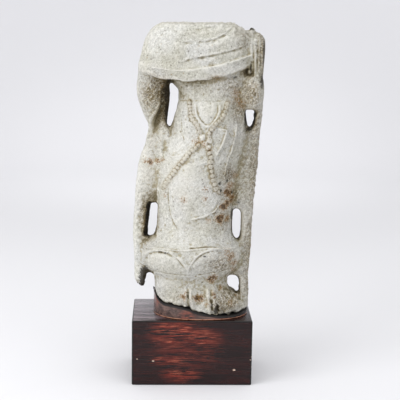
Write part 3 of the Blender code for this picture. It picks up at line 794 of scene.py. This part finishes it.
# Painted black shade: near-black spots in the gap rims, the stole's undercut and slit, under the hem lines, along
# the foot's edge, on the scarf stub and down the right outline, with a few dark dots.
BLACK_SHADE_SPOTS = [
    (-78, 58, 7, 17, 2.1), (-83, 45, 8, 5, 1.2), (62, 390, 5, 3, 0.6), (70, 393, 6, 2.5, 0.4),
    (78, 397, 6, 2.5, 0.35),
    (85, 401, 4, 2.5, 0.35), (88.5, 405, 1.4, 8, 1.0), (-43, 362, 7, 20, 1.0), (-43, 330, 5, 22, 1.0),
    (82, 322, 3, 14, 0.9), (-50, 379, 10, 3, 0.5),
    (88, 306, 7, 3, 0.9), (-73, 160, 3, 26, 0.9), (-76, 132, 6, 5, 0.8), (63, 168, 2.5, 12, 0.9),
    (66, 174, 5, 2.5, 0.8), (64, 145, 2, 22, 0.6), (38, 17, 4.5, 9, 1.0), (41, 22, 3, 6, 0.8),
    (48, 12, 4, 2.5, 0.6), (60, 9, 6, 2.5, 0.8), (75, 7, 8, 2.5, 0.8), (84, 8, 5, 4, 0.8),
    (41, 223, 2.4, 2.4, 1.0),
    (53, 226, 2.2, 2.2, 1.0), (43, 211, 2.2, 2.6, 1.0), (74, 186, 4, 2, 0.8), (62, 205, 3, 3, 0.8),
    (-53, 112, 5, 1.5, 0.7), (-43, 111, 5, 1.5, 0.7), (18, 108, 5, 1.6, 0.7), (90, 466, 5, 4, 0.8),
    (109, 430, 2.5, 26, 0.7), (107, 384, 4, 14, 0.8), (31.5, 26, 1.6, 10, 0.7), (-7, 40, 1.6, 9, 0.6),
]
# Grime and painted shade: brownish grime at the waist and right side, and painted shade on the arm under the
# stole, beside the arms, under the stole's edge and down the side turned from the light.
GRIME_AND_SHADE = [
    (-50, 360, 18, 28, 1.0), (-46, 332, 14, 26, 1.0), (-68, 362, 18, 30, 1.0), (-66, 338, 12, 16, 0.6),
    (60, 374, 24, 17, 0.6), (70, 342, 14, 28, 0.8), (90, 366, 20, 28, 0.8), (96, 320, 16, 34, 0.8),
    (66, 290, 20, 50, 0.2), (102, 240, 16, 90, 0.75), (-66, 290, 14, 30, 0.3), (-68, 228, 14, 24, 0.2),
    (-58, 383, 8, 3, 0.9), (32, 390, 12, 3, 0.9), (-20, 34, 34, 18, 0.34), (98, 100, 16, 80, 0.8),
    (-79, 158, 8, 36, 1.0), (106, 425, 9, 44, 0.8), (98, 60, 14, 50, 0.8), (76, 446, 12, 16, 0.4),
    (10, 374, 40, 10, 0.3),
    (86, 310, 9, 12, 0.8), (56, 236, 17, 17, 0.8), (60, 200, 16, 24, 0.8), (52, 165, 18, 22, 0.6),
    (-69, 166, 10, 38, 0.8), (-71, 54, 8, 16, 0.9), (46, 92, 26, 18, 0.65), (66, 62, 16, 16, 0.6),
    (56, 28, 30, 18, 0.85), (43, 13, 5, 9, 1.0), (10, 36, 12, 12, 0.3), (90, 240, 22, 120, 0.35),
    (78, 398, 14, 6, 0.5), (46, 5, 14, 4, 0.6),
]


# Places where the painted shade is lifted, so the skin stays lighter there.
SHADE_LIFTED = [(72, 150, 16, 36, 0.7), (72, 44, 18, 24, 0.7), (-4, 60, 60, 14, 0.3), (-52, 256, 9, 56, 0.7),
          (-29, 345, 9, 40, 0.9), (-42, 292, 10, 16, 0.8), (-44, 160, 10, 36, 0.6),
          (-30, 44, 34, 16, 0.5)]

CHALKY = [
    (-20, 238, 26, 54, 0.78), (-18, 140, 32, 44, 0.35), (-50, 98, 26, 14, 0.4), (-64, 292, 12, 30, 0.4),
    (14, 336, 24, 20, 0.5), (-40, 62, 20, 12, 0.4), (30, 402, 60, 10, 0.3), (-70, 226, 14, 40, 0.6),
]


def smoothed(piece, places, passes):
    """The places after each vertex has moved to the middle of its neighbours a few times."""
    edges = np.empty(len(piece.data.edges) * 2, np.int32)
    piece.data.edges.foreach_get("vertices", edges)
    a, b = edges.reshape(-1, 2).T
    count = len(places)
    share = np.bincount(a, minlength=count) + np.bincount(b, minlength=count)
    for _ in range(passes):
        total = [np.bincount(a, column[b], count) + np.bincount(b, column[a], count) for column in places.T]
        places = np.stack(total, 1) / share[:, None]
    return places


def store(piece, name, values):
    """Keeps one number for each vertex on the mesh, for a material to read."""
    layer = piece.data.attributes.new(name, "FLOAT", "POINT")
    layer.data.foreach_set("value", np.clip(values, 0, 1).astype(np.float32))


places, facing = skin_places(stone), skin_facing(stone)
front = ease(-facing[:, 1] / FADE)
fine_crest = ((places - smoothed(stone, places, 4)) * facing).sum(1)
sky = smoothed(stone, open_sky[:, None], 2)[:, 0]
rust = stains([(x, z, reach, reach, strength) for x, z, reach, strength in RUST_STAINS], places) * front
grime = stains(GRIME_AND_SHADE, places) * ease((0.3 - facing[:, 1]) / 0.3)
drawn = places[:, [0, 2]]
strings = [beads(drawn, *chain, number)[1:] for number, chain in enumerate(CHAINS)]
strung, between = (np.max(layer, axis=0) * front for layer in zip(*strings))
# Painted shadow along the broken foot's edge, where it sits on the riser.
foot_shadow = 0.5 * ease((foot_line(places[:, 0]) + 3 - places[:, 2]) / 3)
# Painted shade in the cut lines and grooves, less on the stole.
groove_shade = 0.34 - 0.2 * ease((places[:, 2] - 380) / 20)
groove_shade = groove_shade * ease(-fine_crest / 0.4)
# Painted shade, with some dirt: darker where the skin sees little sky, in the cut lines and at the foot's edge.
store(stone, "dirt", (1 - sky) * (1 - stains(SHADE_LIFTED, places)) + groove_shade + foot_shadow)
# Crests painted lighter: wear and painted highlight, less on the beads, plus the chalky patches.
store(stone, "rubbed", ease(fine_crest / 0.45) * (1 - 0.6 * strung) + stains(CHALKY, places) * front)
store(stone, "strung", strung)
# Painted shade between the beads, with some dirt.
store(stone, "between", between * (1 + 1.2 * noise_over(places, 5)))
store(stone, "rust", rust)
store(stone, "grime", grime)
# Painted black shade in crevices and gap rims.
store(stone, "blackened", stains(BLACK_SHADE_SPOTS, places) * ease((0.8 - facing[:, 1]) / 0.3))
store(stone, "broken", broken)
print("rust on", round((rust > 0.3).mean() * 100, 1), "% of the skin")
print("grime on", round((grime > 0.3).mean() * 100, 1), "%")

# %% [markdown]
# ## The stone's finish
#
# The stone is a pale, coarse sandstone: crystals of one to three millimetres from chalk white to
# dark grey, held in a warm grey ground, matte all over. Cellular noise gives each crystal a tone
# of its own, and finer noise breaks it up. The crystals are drawn a little coarser than they are,
# or they would average out to a flat grey at the photo's size. Sparse dark pits and ochre specks
# lie over them, and the stored painted shade, dirt, grime, rust, wear and painted highlight over all.

# %% Mix the stone's ground of crystals
CRYSTAL, FINE_CRYSTAL, CLOUD = 2.4 * MM, 1.5 * MM, 42 * MM
PIT_GAP, FLECK_GAP, BROWN_GAP, SPECK = 8.0 * MM, 11 * MM, 6.5 * MM, 2.1 * MM
STROKE_WIDTH, STROKE_LENGTH, STROKE_SLANT = 1.7 * MM, 13 * MM, math.radians(38)
PATCH, BLOTCH = 4 * MM, 2.4 * MM

sandstone, tree, shader = new_material("weathered_coarse_sandstone")
space = add(tree, "TexCoord").outputs["Object"]
crystals = add(tree, "TexVoronoi", {"Vector": space, "Scale": 1 / CRYSTAL, "Randomness": 1.0})
crystal_tone = add(tree, "ValToRGB", {0: crystals.outputs["Color"]}, stops=[
    (0.0, "#86837a"), (0.2, "#aeaca3"), (0.5, "#c7c6bf"), (0.8, "#d4d4ce"), (1.0, "#f0f0eb")])
fine = add(tree, "TexNoise", {"Vector": space, "Scale": 1 / FINE_CRYSTAL, "Detail": 3.0, "Roughness": 0.7})
fine_tone = add(tree, "ValToRGB", {0: fine.outputs["Fac"]}, stops=[
    (0.32, "#55524a"), (0.42, "#aeaca3"), (0.56, "#d2d1cb"), (0.69, "#fbfbf8")])
ground = add(tree, "Mix", {0: 0.55, 6: crystal_tone.outputs[0], 7: fine_tone.outputs[0]}, data_type="RGBA")
cloud = add(tree, "TexNoise", {"Vector": space, "Scale": 1 / CLOUD, "Detail": 3.0})
cloud_tint = add(tree, "ValToRGB", {0: cloud.outputs["Fac"]}, stops=[(0.35, "#ecebe2"), (0.6, "#fafbfd")])
clouded = add(tree, "Mix", {0: 0.9, 6: ground.outputs[2], 7: cloud_tint.outputs[0]},
              data_type="RGBA", blend_type="MULTIPLY")
print("crystals of", round(CRYSTAL / MM, 1), "and", round(FINE_CRYSTAL / MM, 1), "mm")

# %% Add pits, ochre flecks and what the skin has stored
def spots(tree, space, gap, chance, size, strength):
    """Round spots about this far apart; only this share of them, this large in parts of the gap."""
    cells = add(tree, "TexVoronoi", {"Vector": space, "Scale": 1 / gap, "Randomness": 1.0})
    spot = add(tree, "MapRange", {"Value": cells.outputs["Distance"], "From Min": 0.4 * size,
                                  "From Max": size, "To Min": strength, "To Max": 0.0})
    kept = add(tree, "Math", {0: cells.outputs["Color"], 1: 1 - chance}, operation="GREATER_THAN")
    return add(tree, "Math", {0: spot.outputs[0], 1: kept.outputs[0]}, operation="MULTIPLY").outputs[0]


pit_mask = spots(tree, space, PIT_GAP, 0.55, 0.2, 0.75)
fleck_mask = spots(tree, space, FLECK_GAP, 0.5, 0.16, 0.6)
brown_mask = spots(tree, space, BROWN_GAP, 0.6, 0.22, 0.9)
specks = add(tree, "TexNoise", {"Vector": space, "Scale": 1 / SPECK, "Detail": 2.0, "Roughness": 0.6})
slanted = add(tree, "Mapping", {"Vector": space, "Rotation": (0, STROKE_SLANT, 0),
                                "Scale": (STROKE_WIDTH, STROKE_WIDTH, STROKE_LENGTH)},
              vector_type="TEXTURE")
chiselled = add(tree, "TexNoise", {"Vector": slanted.outputs[0], "Scale": 1.0, "Detail": 2.0,
                                   "Roughness": 0.6})
marks = add(tree, "Mix", {0: 0.4, 2: specks.outputs["Fac"], 3: chiselled.outputs["Fac"]}).outputs[0]
dark_marks = add(tree, "MapRange", {"Value": marks, "From Min": 0.5, "From Max": 0.44})
light_marks = add(tree, "MapRange", {"Value": marks, "From Min": 0.54, "From Max": 0.62, "To Max": 0.42})
print("chisel strokes", round(STROKE_LENGTH / MM), "mm long, pits", round(PIT_GAP / MM), "mm apart")

# %% Read what the skin has stored
STRENGTHS = {"grime": 1.0, "rubbed": 0.6, "broken": 0.35, "dirt": 1.0, "strung": 0.42, "between": 0.95,
             "rust": 1.15, "blackened": 1.3}
skin = {}
for name, strength in STRENGTHS.items():
    layer = add(tree, "Attribute", attribute_name=name)
    skin[name] = add(tree, "Math", {0: layer.outputs["Fac"], 1: strength}, operation="MULTIPLY").outputs[0]
patch = add(tree, "TexNoise", {"Vector": space, "Scale": 1 / PATCH, "Detail": 5.0, "Roughness": 0.75})
patchy = add(tree, "MapRange", {"Value": patch.outputs["Fac"], "From Min": 0.35, "From Max": 0.6,
                                "To Min": 0.045, "To Max": 1.26})
blotch = add(tree, "TexNoise", {"Vector": space, "Scale": 1 / BLOTCH, "Detail": 5.0, "Roughness": 0.8})
blotchy = add(tree, "MapRange", {"Value": blotch.outputs["Fac"], "From Min": 0.25, "From Max": 0.75,
                                 "To Min": -0.85, "To Max": 0.85}).outputs[0]
rough_share = add(tree, "Math", {0: skin["grime"], 1: 0.85, 2: 0.07}, operation="MULTIPLY_ADD").outputs[0]
share = {}
for name, first, second, operation in (
    ("brown", brown_mask, skin["grime"], "MULTIPLY"),
    ("grime", skin["grime"], patchy.outputs[0], "MULTIPLY"),
    ("dark", dark_marks.outputs[0], rough_share, "MULTIPLY"),
    ("light", light_marks.outputs[0], rough_share, "MULTIPLY"),
    ("rust", skin["rust"], blotchy, "ADD"),
    ("black", skin["blackened"], blotchy, "ADD"),
):
    share[name] = add(tree, "Math", {0: first, 1: second}, operation=operation).outputs[0]
rust_mask = add(tree, "MapRange", {"Value": share["rust"], "From Min": 0.42, "From Max": 0.8, "To Max": 0.9})
black_shade_mask = add(tree, "MapRange", {"Value": share["black"], "From Min": 0.4, "From Max": 0.75,
                                    "To Max": 0.88})
# Painted shade and dirt: white on open skin, dark brown-grey deep in hollows and gaps.
shade_and_dirt_tone = add(tree, "ValToRGB", {0: skin["dirt"]}, stops=[
    (0.1, "#ffffff"), (0.36, "#dcd4c0"), (0.6, "#9e9274"), (0.85, "#454034")])
rust_tone = add(tree, "ValToRGB", {0: share["rust"]}, stops=[
    (0.45, "#b89b6c"), (0.7, "#94692f"), (1.0, "#3c2710")])
print(len(skin), "stored numbers are read")

# %% Lay the stone's coats
coats = [
    (pit_mask, linear("#6b665a"), "MIX"),
    (fleck_mask, linear("#a08a66"), "MIX"),
    (share["brown"], linear("#6f5230"), "MIX"),
    # wear and painted highlight on the crests
    (skin["rubbed"], linear("#e6e4dc"), "MIX"),
    (skin["broken"], linear("#979182"), "MIX"),
    # painted shade, with some dirt, in hollows, gaps and grooves
    (1.0, shade_and_dirt_tone.outputs[0], "MULTIPLY"),
    (skin["strung"], linear("#dccfb4"), "MULTIPLY"),
    # painted shade between the beads, with some dirt
    (skin["between"], linear("#86704f"), "MULTIPLY"),
    # grime and painted shade
    (share["grime"], linear("#a3926f"), "MULTIPLY"),
    (share["dark"], linear("#4f4129"), "MIX"),
    (share["light"], linear("#e6e2d0"), "MIX"),
    (rust_mask.outputs[0], rust_tone.outputs[0], "MIX"),
    # painted black shade in crevices and gap rims
    (black_shade_mask.outputs[0], linear("#211a10"), "MIX"),
]
coat = clouded.outputs[2]
for amount, colour, blend in coats:
    coat = add(tree, "Mix", {0: amount, 6: coat, 7: colour}, data_type="RGBA", blend_type=blend).outputs[2]
tree.links.new(coat, shader.inputs["Base Color"])
shader.inputs["Roughness"].default_value = 0.9
shader.inputs["Specular IOR Level"].default_value = 0.3
print(len(coats), "coats laid on", sandstone.name)

# %% Give the skin its finest relief
rough = add(tree, "Math", {0: fine.outputs["Fac"], 1: pit_mask}, operation="SUBTRACT")
half_share = add(tree, "Math", {0: rough_share, 1: 0.4}, operation="MULTIPLY")
rougher = add(tree, "Math", {0: marks, 1: half_share.outputs[0]}, operation="MULTIPLY")
both = add(tree, "Math", {0: rough.outputs[0], 1: rougher.outputs[0]}, operation="ADD")
skin_bump = add(tree, "Bump", {"Height": both.outputs[0], "Strength": 0.9, "Distance": 1.4 * MM})
tree.links.new(skin_bump.outputs[0], shader.inputs["Normal"])
stone.data.materials.append(sandstone)
only(stone)
bpy.ops.object.shade_smooth()
print(sandstone.name, "has", len(tree.nodes), "nodes")

# %% [markdown]
# ## The riser
#
# The riser is a slice of hardwood sawn to the oval of the figure's foot, and its top is cut to
# the slant of the break. It is stained a dull, dark brown. Its lower rim is a thin copper-brown line:
# bare wood where the stain is worn off, with a painted highlight along the edge. The imported node
# has the right form, so a copy is kept and only its edges are worked: the rims are bevelled, and
# the top one more, so that a dark joint shows under the stone. That top bevel is painted near
# black, as painted shadow in the joint.

# %% Work the riser's edges
RIM_BEVEL, SEAT_BEVEL = 1.6 * MM, 3.0 * MM

riser = copy_of("wood_riser", "oval_riser")


def bevel_edges(piece, picked, width, segments):
    """Bevels the edges that are picked by a test on the edge's middle and its two faces' normals."""
    mesh = piece.data
    faces_at = {}
    for face in mesh.polygons:
        for key in face.edge_keys:
            faces_at.setdefault(key, []).append(face.normal)
    chosen = []
    for edge in mesh.edges:
        middle = (mesh.vertices[edge.vertices[0]].co + mesh.vertices[edge.vertices[1]].co) / 2
        if picked(middle, faces_at[edge.key]):
            chosen.append(edge.index)
    select_parts(piece, "EDGE", chosen)
    bpy.ops.mesh.bevel(offset=width, segments=segments)
    bpy.ops.object.mode_set(mode="OBJECT")


def is_sharp(normals):
    """True where two faces meet at a corner of more than 40 degrees."""
    return len(normals) == 2 and normals[0].angle(normals[1]) > math.radians(40)


riser_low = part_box("wood_riser")[0]
bevel_edges(riser, lambda middle, normals: is_sharp(normals) and middle.z < riser_low.z + MM, RIM_BEVEL, 3)
bevel_edges(
    riser, lambda middle, normals: is_sharp(normals) and middle.z > riser_low.z + 2 * MM, SEAT_BEVEL, 2)
only(riser)
bpy.ops.object.shade_smooth_by_angle(angle=math.radians(35))
print("riser:", len(riser.data.polygons), "faces")

# %% [markdown]
# ## The block
#
# The block is squared hardwood under a dark mahogany stain and a thin lacquer. Real blocks aren't
# perfect: the edges are eased, a fine seam runs along the front where two boards are glued, and
# a few chips show bare wood. It starts as a cube, its edges are bevelled, the seam is scored
# right round, and each chip is bitten out by a small lump with a Boolean.

# %% Shape the block
BLOCK_EDGE = 2.2 * MM
SEAM_HEIGHT, SEAM_WIDTH, SEAM_DEPTH = 43.4 * MM, 0.5 * MM, 0.35 * MM
CHIP_SEED = 3
CHIPS = [
    (-88.8, -68.5, 44.3, 0.9), (-62.9, -68.5, 41.0, 1.5), (68.8, -68.5, 26.1, 1.8),
    (96.6, -67.8, 48.2, 1.3),
    (95.0, -68.5, 43.1, 0.9), (97.0, -67.3, 31.3, 1.3), (-97.0, 40.0, 106.5, 2.0),
    (60.0, 68.2, 107.0, 1.6),
]

block_size = block_high - block_low
bpy.ops.object.select_all(action="DESELECT")
bpy.ops.mesh.primitive_cube_add(size=1, location=(block_low + block_high) / 2)
block = bpy.context.active_object
block.name = "base_block"
bpy.ops.transform.resize(value=block_size)
bpy.ops.object.transform_apply(location=True, rotation=True, scale=True)
bevel_edges(block, lambda middle, normals: True, BLOCK_EDGE, 4)

bpy.ops.object.mode_set(mode="EDIT")
for offset in (-SEAM_WIDTH, 0, SEAM_WIDTH):
    bpy.ops.mesh.select_all(action="SELECT")
    bpy.ops.mesh.bisect(plane_co=(0, 0, SEAM_HEIGHT + offset), plane_no=(0, 0, 1))
bpy.ops.object.mode_set(mode="OBJECT")
for vertex in block.data.vertices:
    if abs(vertex.co.z - SEAM_HEIGHT) < 0.05 * MM:
        vertex.co.x -= math.copysign(SEAM_DEPTH, vertex.co.x)
        vertex.co.y -= math.copysign(SEAM_DEPTH, vertex.co.y)

chip_places = []
noise.seed_set(CHIP_SEED)
for number, (x, y, z, radius) in enumerate(CHIPS):
    bpy.ops.object.select_all(action="DESELECT")
    place = Vector((x, y, z)) * MM
    bpy.ops.mesh.primitive_ico_sphere_add(subdivisions=2, radius=radius * MM, location=place)
    lump = bpy.context.active_object
    bpy.ops.transform.resize(value=(1.3, 0.55 if abs(y) > 60 else 1.0, 0.8))
    bpy.ops.object.transform_apply(location=True, rotation=True, scale=True)
    for vertex in lump.data.vertices:
        vertex.co += 0.4 * MM * noise.noise_vector(vertex.co / (1.5 * MM) + Vector((number, 0, 0)))
    apply_modifier(block, "BOOLEAN", operation="DIFFERENCE", solver="EXACT", object=lump)
    bpy.data.objects.remove(lump)
    chip_places.append((Vector((x, y, z)) * MM, radius * MM * 1.45))
only(block)
bpy.ops.object.shade_smooth_by_angle(angle=math.radians(30))
print("block:", len(block.data.polygons), "faces,", len(CHIPS), "chips")

# %% [markdown]
# ## The wood's finish
#
# Mahogany stain soaks into the soft bands of the grain and leaves the hard ones redder, so the
# grain shows as long streaks along the board. The lacquer over it has a soft shine, and is rubbed
# through to a warm red where hands lift the block. The streaks are noise drawn out along X: a
# few centimetres long and about a millimetre thick. Block and riser share one recipe, with their own
# colours, and each gets its own rubbed places.

# %% A recipe for stained wood
STREAK_LENGTH, STREAK_THICKNESS, BAND_THICKNESS = 26 * MM, 1.5 * MM, 10 * MM
STREAK_RISE = math.radians(5)


def grain(tree, space, length, thickness, detail):
    """Noise drawn out along X and a little uphill, so that it runs like grain."""
    along = add(tree, "Mapping", {"Vector": space, "Rotation": (0, STREAK_RISE, 0),
                                  "Scale": (1 / length, 1 / thickness, 1 / thickness)})
    return add(tree, "TexNoise", {"Vector": along.outputs[0], "Scale": 1.0, "Detail": detail,
                                  "Roughness": 0.7, "Distortion": 0.5}).outputs["Fac"]


def stained_wood(name, dark, red, worn, bright, rubs):
    """Stained hardwood, redder where worn, with painted glints on the brightest streaks there. A rub is its
    middle, its reach and strength.
    """
    material, tree, shader = new_material(name)
    space = add(tree, "TexCoord").outputs["Object"]
    streaks = grain(tree, space, STREAK_LENGTH, STREAK_THICKNESS, 4.0)
    bands = grain(tree, space, 4 * STREAK_LENGTH, BAND_THICKNESS, 3.0)
    both = add(tree, "Math", {0: streaks, 1: bands}, operation="ADD").outputs[0]
    rubbed = 0.0
    for middle, reach, strength in rubs:
        apart = add(tree, "VectorMath", {0: space, 1: Vector(middle) * MM}, operation="SUBTRACT")
        shrunk = add(tree, "VectorMath", {0: apart.outputs[0], 1: Vector(reach) * MM}, operation="DIVIDE")
        length = add(tree, "VectorMath", {0: shrunk.outputs[0]}, operation="LENGTH")
        near = add(tree, "MapRange", {"Value": length.outputs["Value"], "From Min": 0.2, "From Max": 1.2,
                                      "To Min": strength, "To Max": 0.0}, interpolation_type="SMOOTHSTEP")
        rubbed = add(tree, "Math", {0: rubbed, 1: near.outputs[0]}, operation="MAXIMUM").outputs[0]
    coat = linear(dark)
    # Layers: red in the soft grain, then worn red where worn, then bright streaks there: grain with painted
    # glints.
    for pattern, low, high, colour, where in (
        (both, 0.8, 1.35, red, 1.0),
        (both, 0.86, 1.1, worn, rubbed),
        (streaks, 0.53, 0.67, bright, rubbed),
    ):
        shown = add(tree, "MapRange", {"Value": pattern, "From Min": low, "From Max": high})
        amount = add(tree, "Math", {0: shown.outputs[0], 1: where}, operation="MULTIPLY").outputs[0]
        coat = add(tree, "Mix", {0: amount, 6: coat, 7: linear(colour)}, data_type="RGBA").outputs[2]
    tree.links.new(coat, shader.inputs["Base Color"])
    shine = add(tree, "MapRange", {"Value": streaks, "From Min": 0.3, "From Max": 0.7,
                                   "To Min": 0.08, "To Max": 0.2})
    tree.links.new(shine.outputs[0], shader.inputs["Roughness"])
    shader.inputs["IOR"].default_value = 1.38
    relief = add(tree, "Bump", {"Height": streaks, "Strength": 0.3, "Distance": 0.2 * MM})
    tree.links.new(relief.outputs[0], shader.inputs["Normal"])
    return material


print("grain streaks about", round(STREAK_LENGTH / MM), "mm long")

# %% Stain and lacquer the wood pieces
# Mahogany stain under a thin lacquer: nearly black and glossy, and a warm red where it's rubbed.
mahogany = stained_wood("stained_lacquered_mahogany", "#0d0607", "#34110e", "#7d2a1d", "#c2694f", [
    ((-30, -68.5, 88), (44, 30, 26), 0.9),
    ((4, -68.5, 78), (48, 30, 24), 0.7),
    ((-18, -68.5, 18), (36, 30, 14), 0.8),
    ((-38, -68.5, 42), (34, 30, 9), 0.6),
    ((-10, -68.5, 52), (60, 30, 30), 0.35),
])
dark_riser = stained_wood("stained_hardwood", "#2e2423", "#80665d", "#843a2b", "#b4654a", [
    ((-8, -64, 114), (16, 20, 12), 0.8),
    ((-58, -28, 134), (8, 16, 14), 0.6),
    ((60, -50, 111), (34, 30, 5), 0.6),
])
bare_wood, tree, shader = new_material("bare_chipped_mahogany")
shader.inputs["Roughness"].default_value = 0.8
fibres = add(tree, "TexNoise", {"Vector": add(tree, "TexCoord").outputs["Object"], "Scale": 1 / (0.8 * MM)})
fibre_tone = add(tree, "ValToRGB", {0: fibres.outputs["Fac"]}, stops=[(0.3, "#b89a86"), (0.7, "#e3d3c4")])
tree.links.new(fibre_tone.outputs[0], shader.inputs["Base Color"])
# The riser's lower rim: bare wood where the stain is worn off, with a painted highlight along the edge.
bright_rim, tree, shader = new_material("worn_rim_with_painted_highlight")
shader.inputs["Roughness"].default_value = 0.4
wear = add(tree, "TexNoise", {"Vector": add(tree, "TexCoord").outputs["Object"], "Scale": 1 / (5 * MM)})
bright_rim_tone = add(tree, "ValToRGB", {0: wear.outputs["Fac"]}, stops=[(0.3, "#a8583c"), (0.5, "#e8ab8b")])
tree.links.new(bright_rim_tone.outputs[0], shader.inputs["Base Color"])
dark_edge = stained_wood("blackened_polished_edge", "#050303", "#0e0605", "#3a1711", "#6e2c1d", [
    ((-10, -68.5, 108), (50, 10, 4), 0.5),
])
# The riser's top bevel: painted near black, as the shadow in the joint under the stone.
joint_shadow, tree, shader = new_material("black_painted_joint_shadow")
shader.inputs["Roughness"].default_value = 0.7
joint_shadow_noise = add(tree, "TexNoise", {"Vector": add(tree, "TexCoord").outputs["Object"], "Scale": 1 / (3 * MM)})
joint_shadow_tone = add(tree, "ValToRGB", {0: joint_shadow_noise.outputs["Fac"]}, stops=[(0.4, "#060404"), (0.7, "#1c1310")])
tree.links.new(joint_shadow_tone.outputs[0], shader.inputs["Base Color"])

# The block's top: a lighter grey-pink painted reflection of the pale backdrop, strongest at the left end.
reflection_top = stained_wood("mahogany_top_painted_reflection", "#0d0607", "#34110e", "#a0939a", "#aca0a2", [
    ((-96, -10, 108), (62, 110, 20), 0.75),
])

for material in (mahogany, bare_wood, dark_edge, reflection_top):
    block.data.materials.append(material)
MAHOGANY, BARE, EDGE, REFLECTION_TOP = range(4)
for face in block.data.polygons:
    flat = max(abs(v) for v in face.normal) > 0.999
    corners = [block.data.vertices[v].co for v in face.vertices]
    chipped = any(all((c - middle).length < 1.3 * reach for c in corners) for middle, reach in chip_places)
    seam = abs(face.center.z - SEAM_HEIGHT) < 2 * SEAM_WIDTH
    face.material_index = MAHOGANY if flat or seam and not chipped else BARE if chipped else EDGE
    # The top faces take the painted reflection.
    if face.normal.z > 0.999:
        face.material_index = REFLECTION_TOP
riser.data.materials.append(dark_riser)
riser.data.materials.append(bright_rim)
riser.data.materials.append(joint_shadow)
RISER_SIDE, BRIGHT_RIM, JOINT_SHADOW = range(3)
for face in riser.data.polygons:
    low_rim = face.center.z < riser_low.z + 1.1 * RIM_BEVEL and -0.95 < face.normal.z
    face.material_index = BRIGHT_RIM if low_rim else JOINT_SHADOW if face.normal.z > 0.12 else RISER_SIDE
print(sum(f.material_index == BARE for f in block.data.polygons), "faces of bare wood on the block")

# %% [markdown]
# ## The pieces on the body
#
# Each piece rides on the model's only body and stands for its imported node, which is hidden.

# %% Ride, replace and finish
for piece, node, slot in (
    (stone, "stone_torso", "carved_stone"),
    (riser, "wood_riser", "riser_wood"),
    (block, "wood_block", "block_wood"),
):
    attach(piece, "root")
    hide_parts(node)
    piece.data.calc_loop_triangles()
    print(piece.name, "has", len(piece.data.loop_triangles), "triangles")
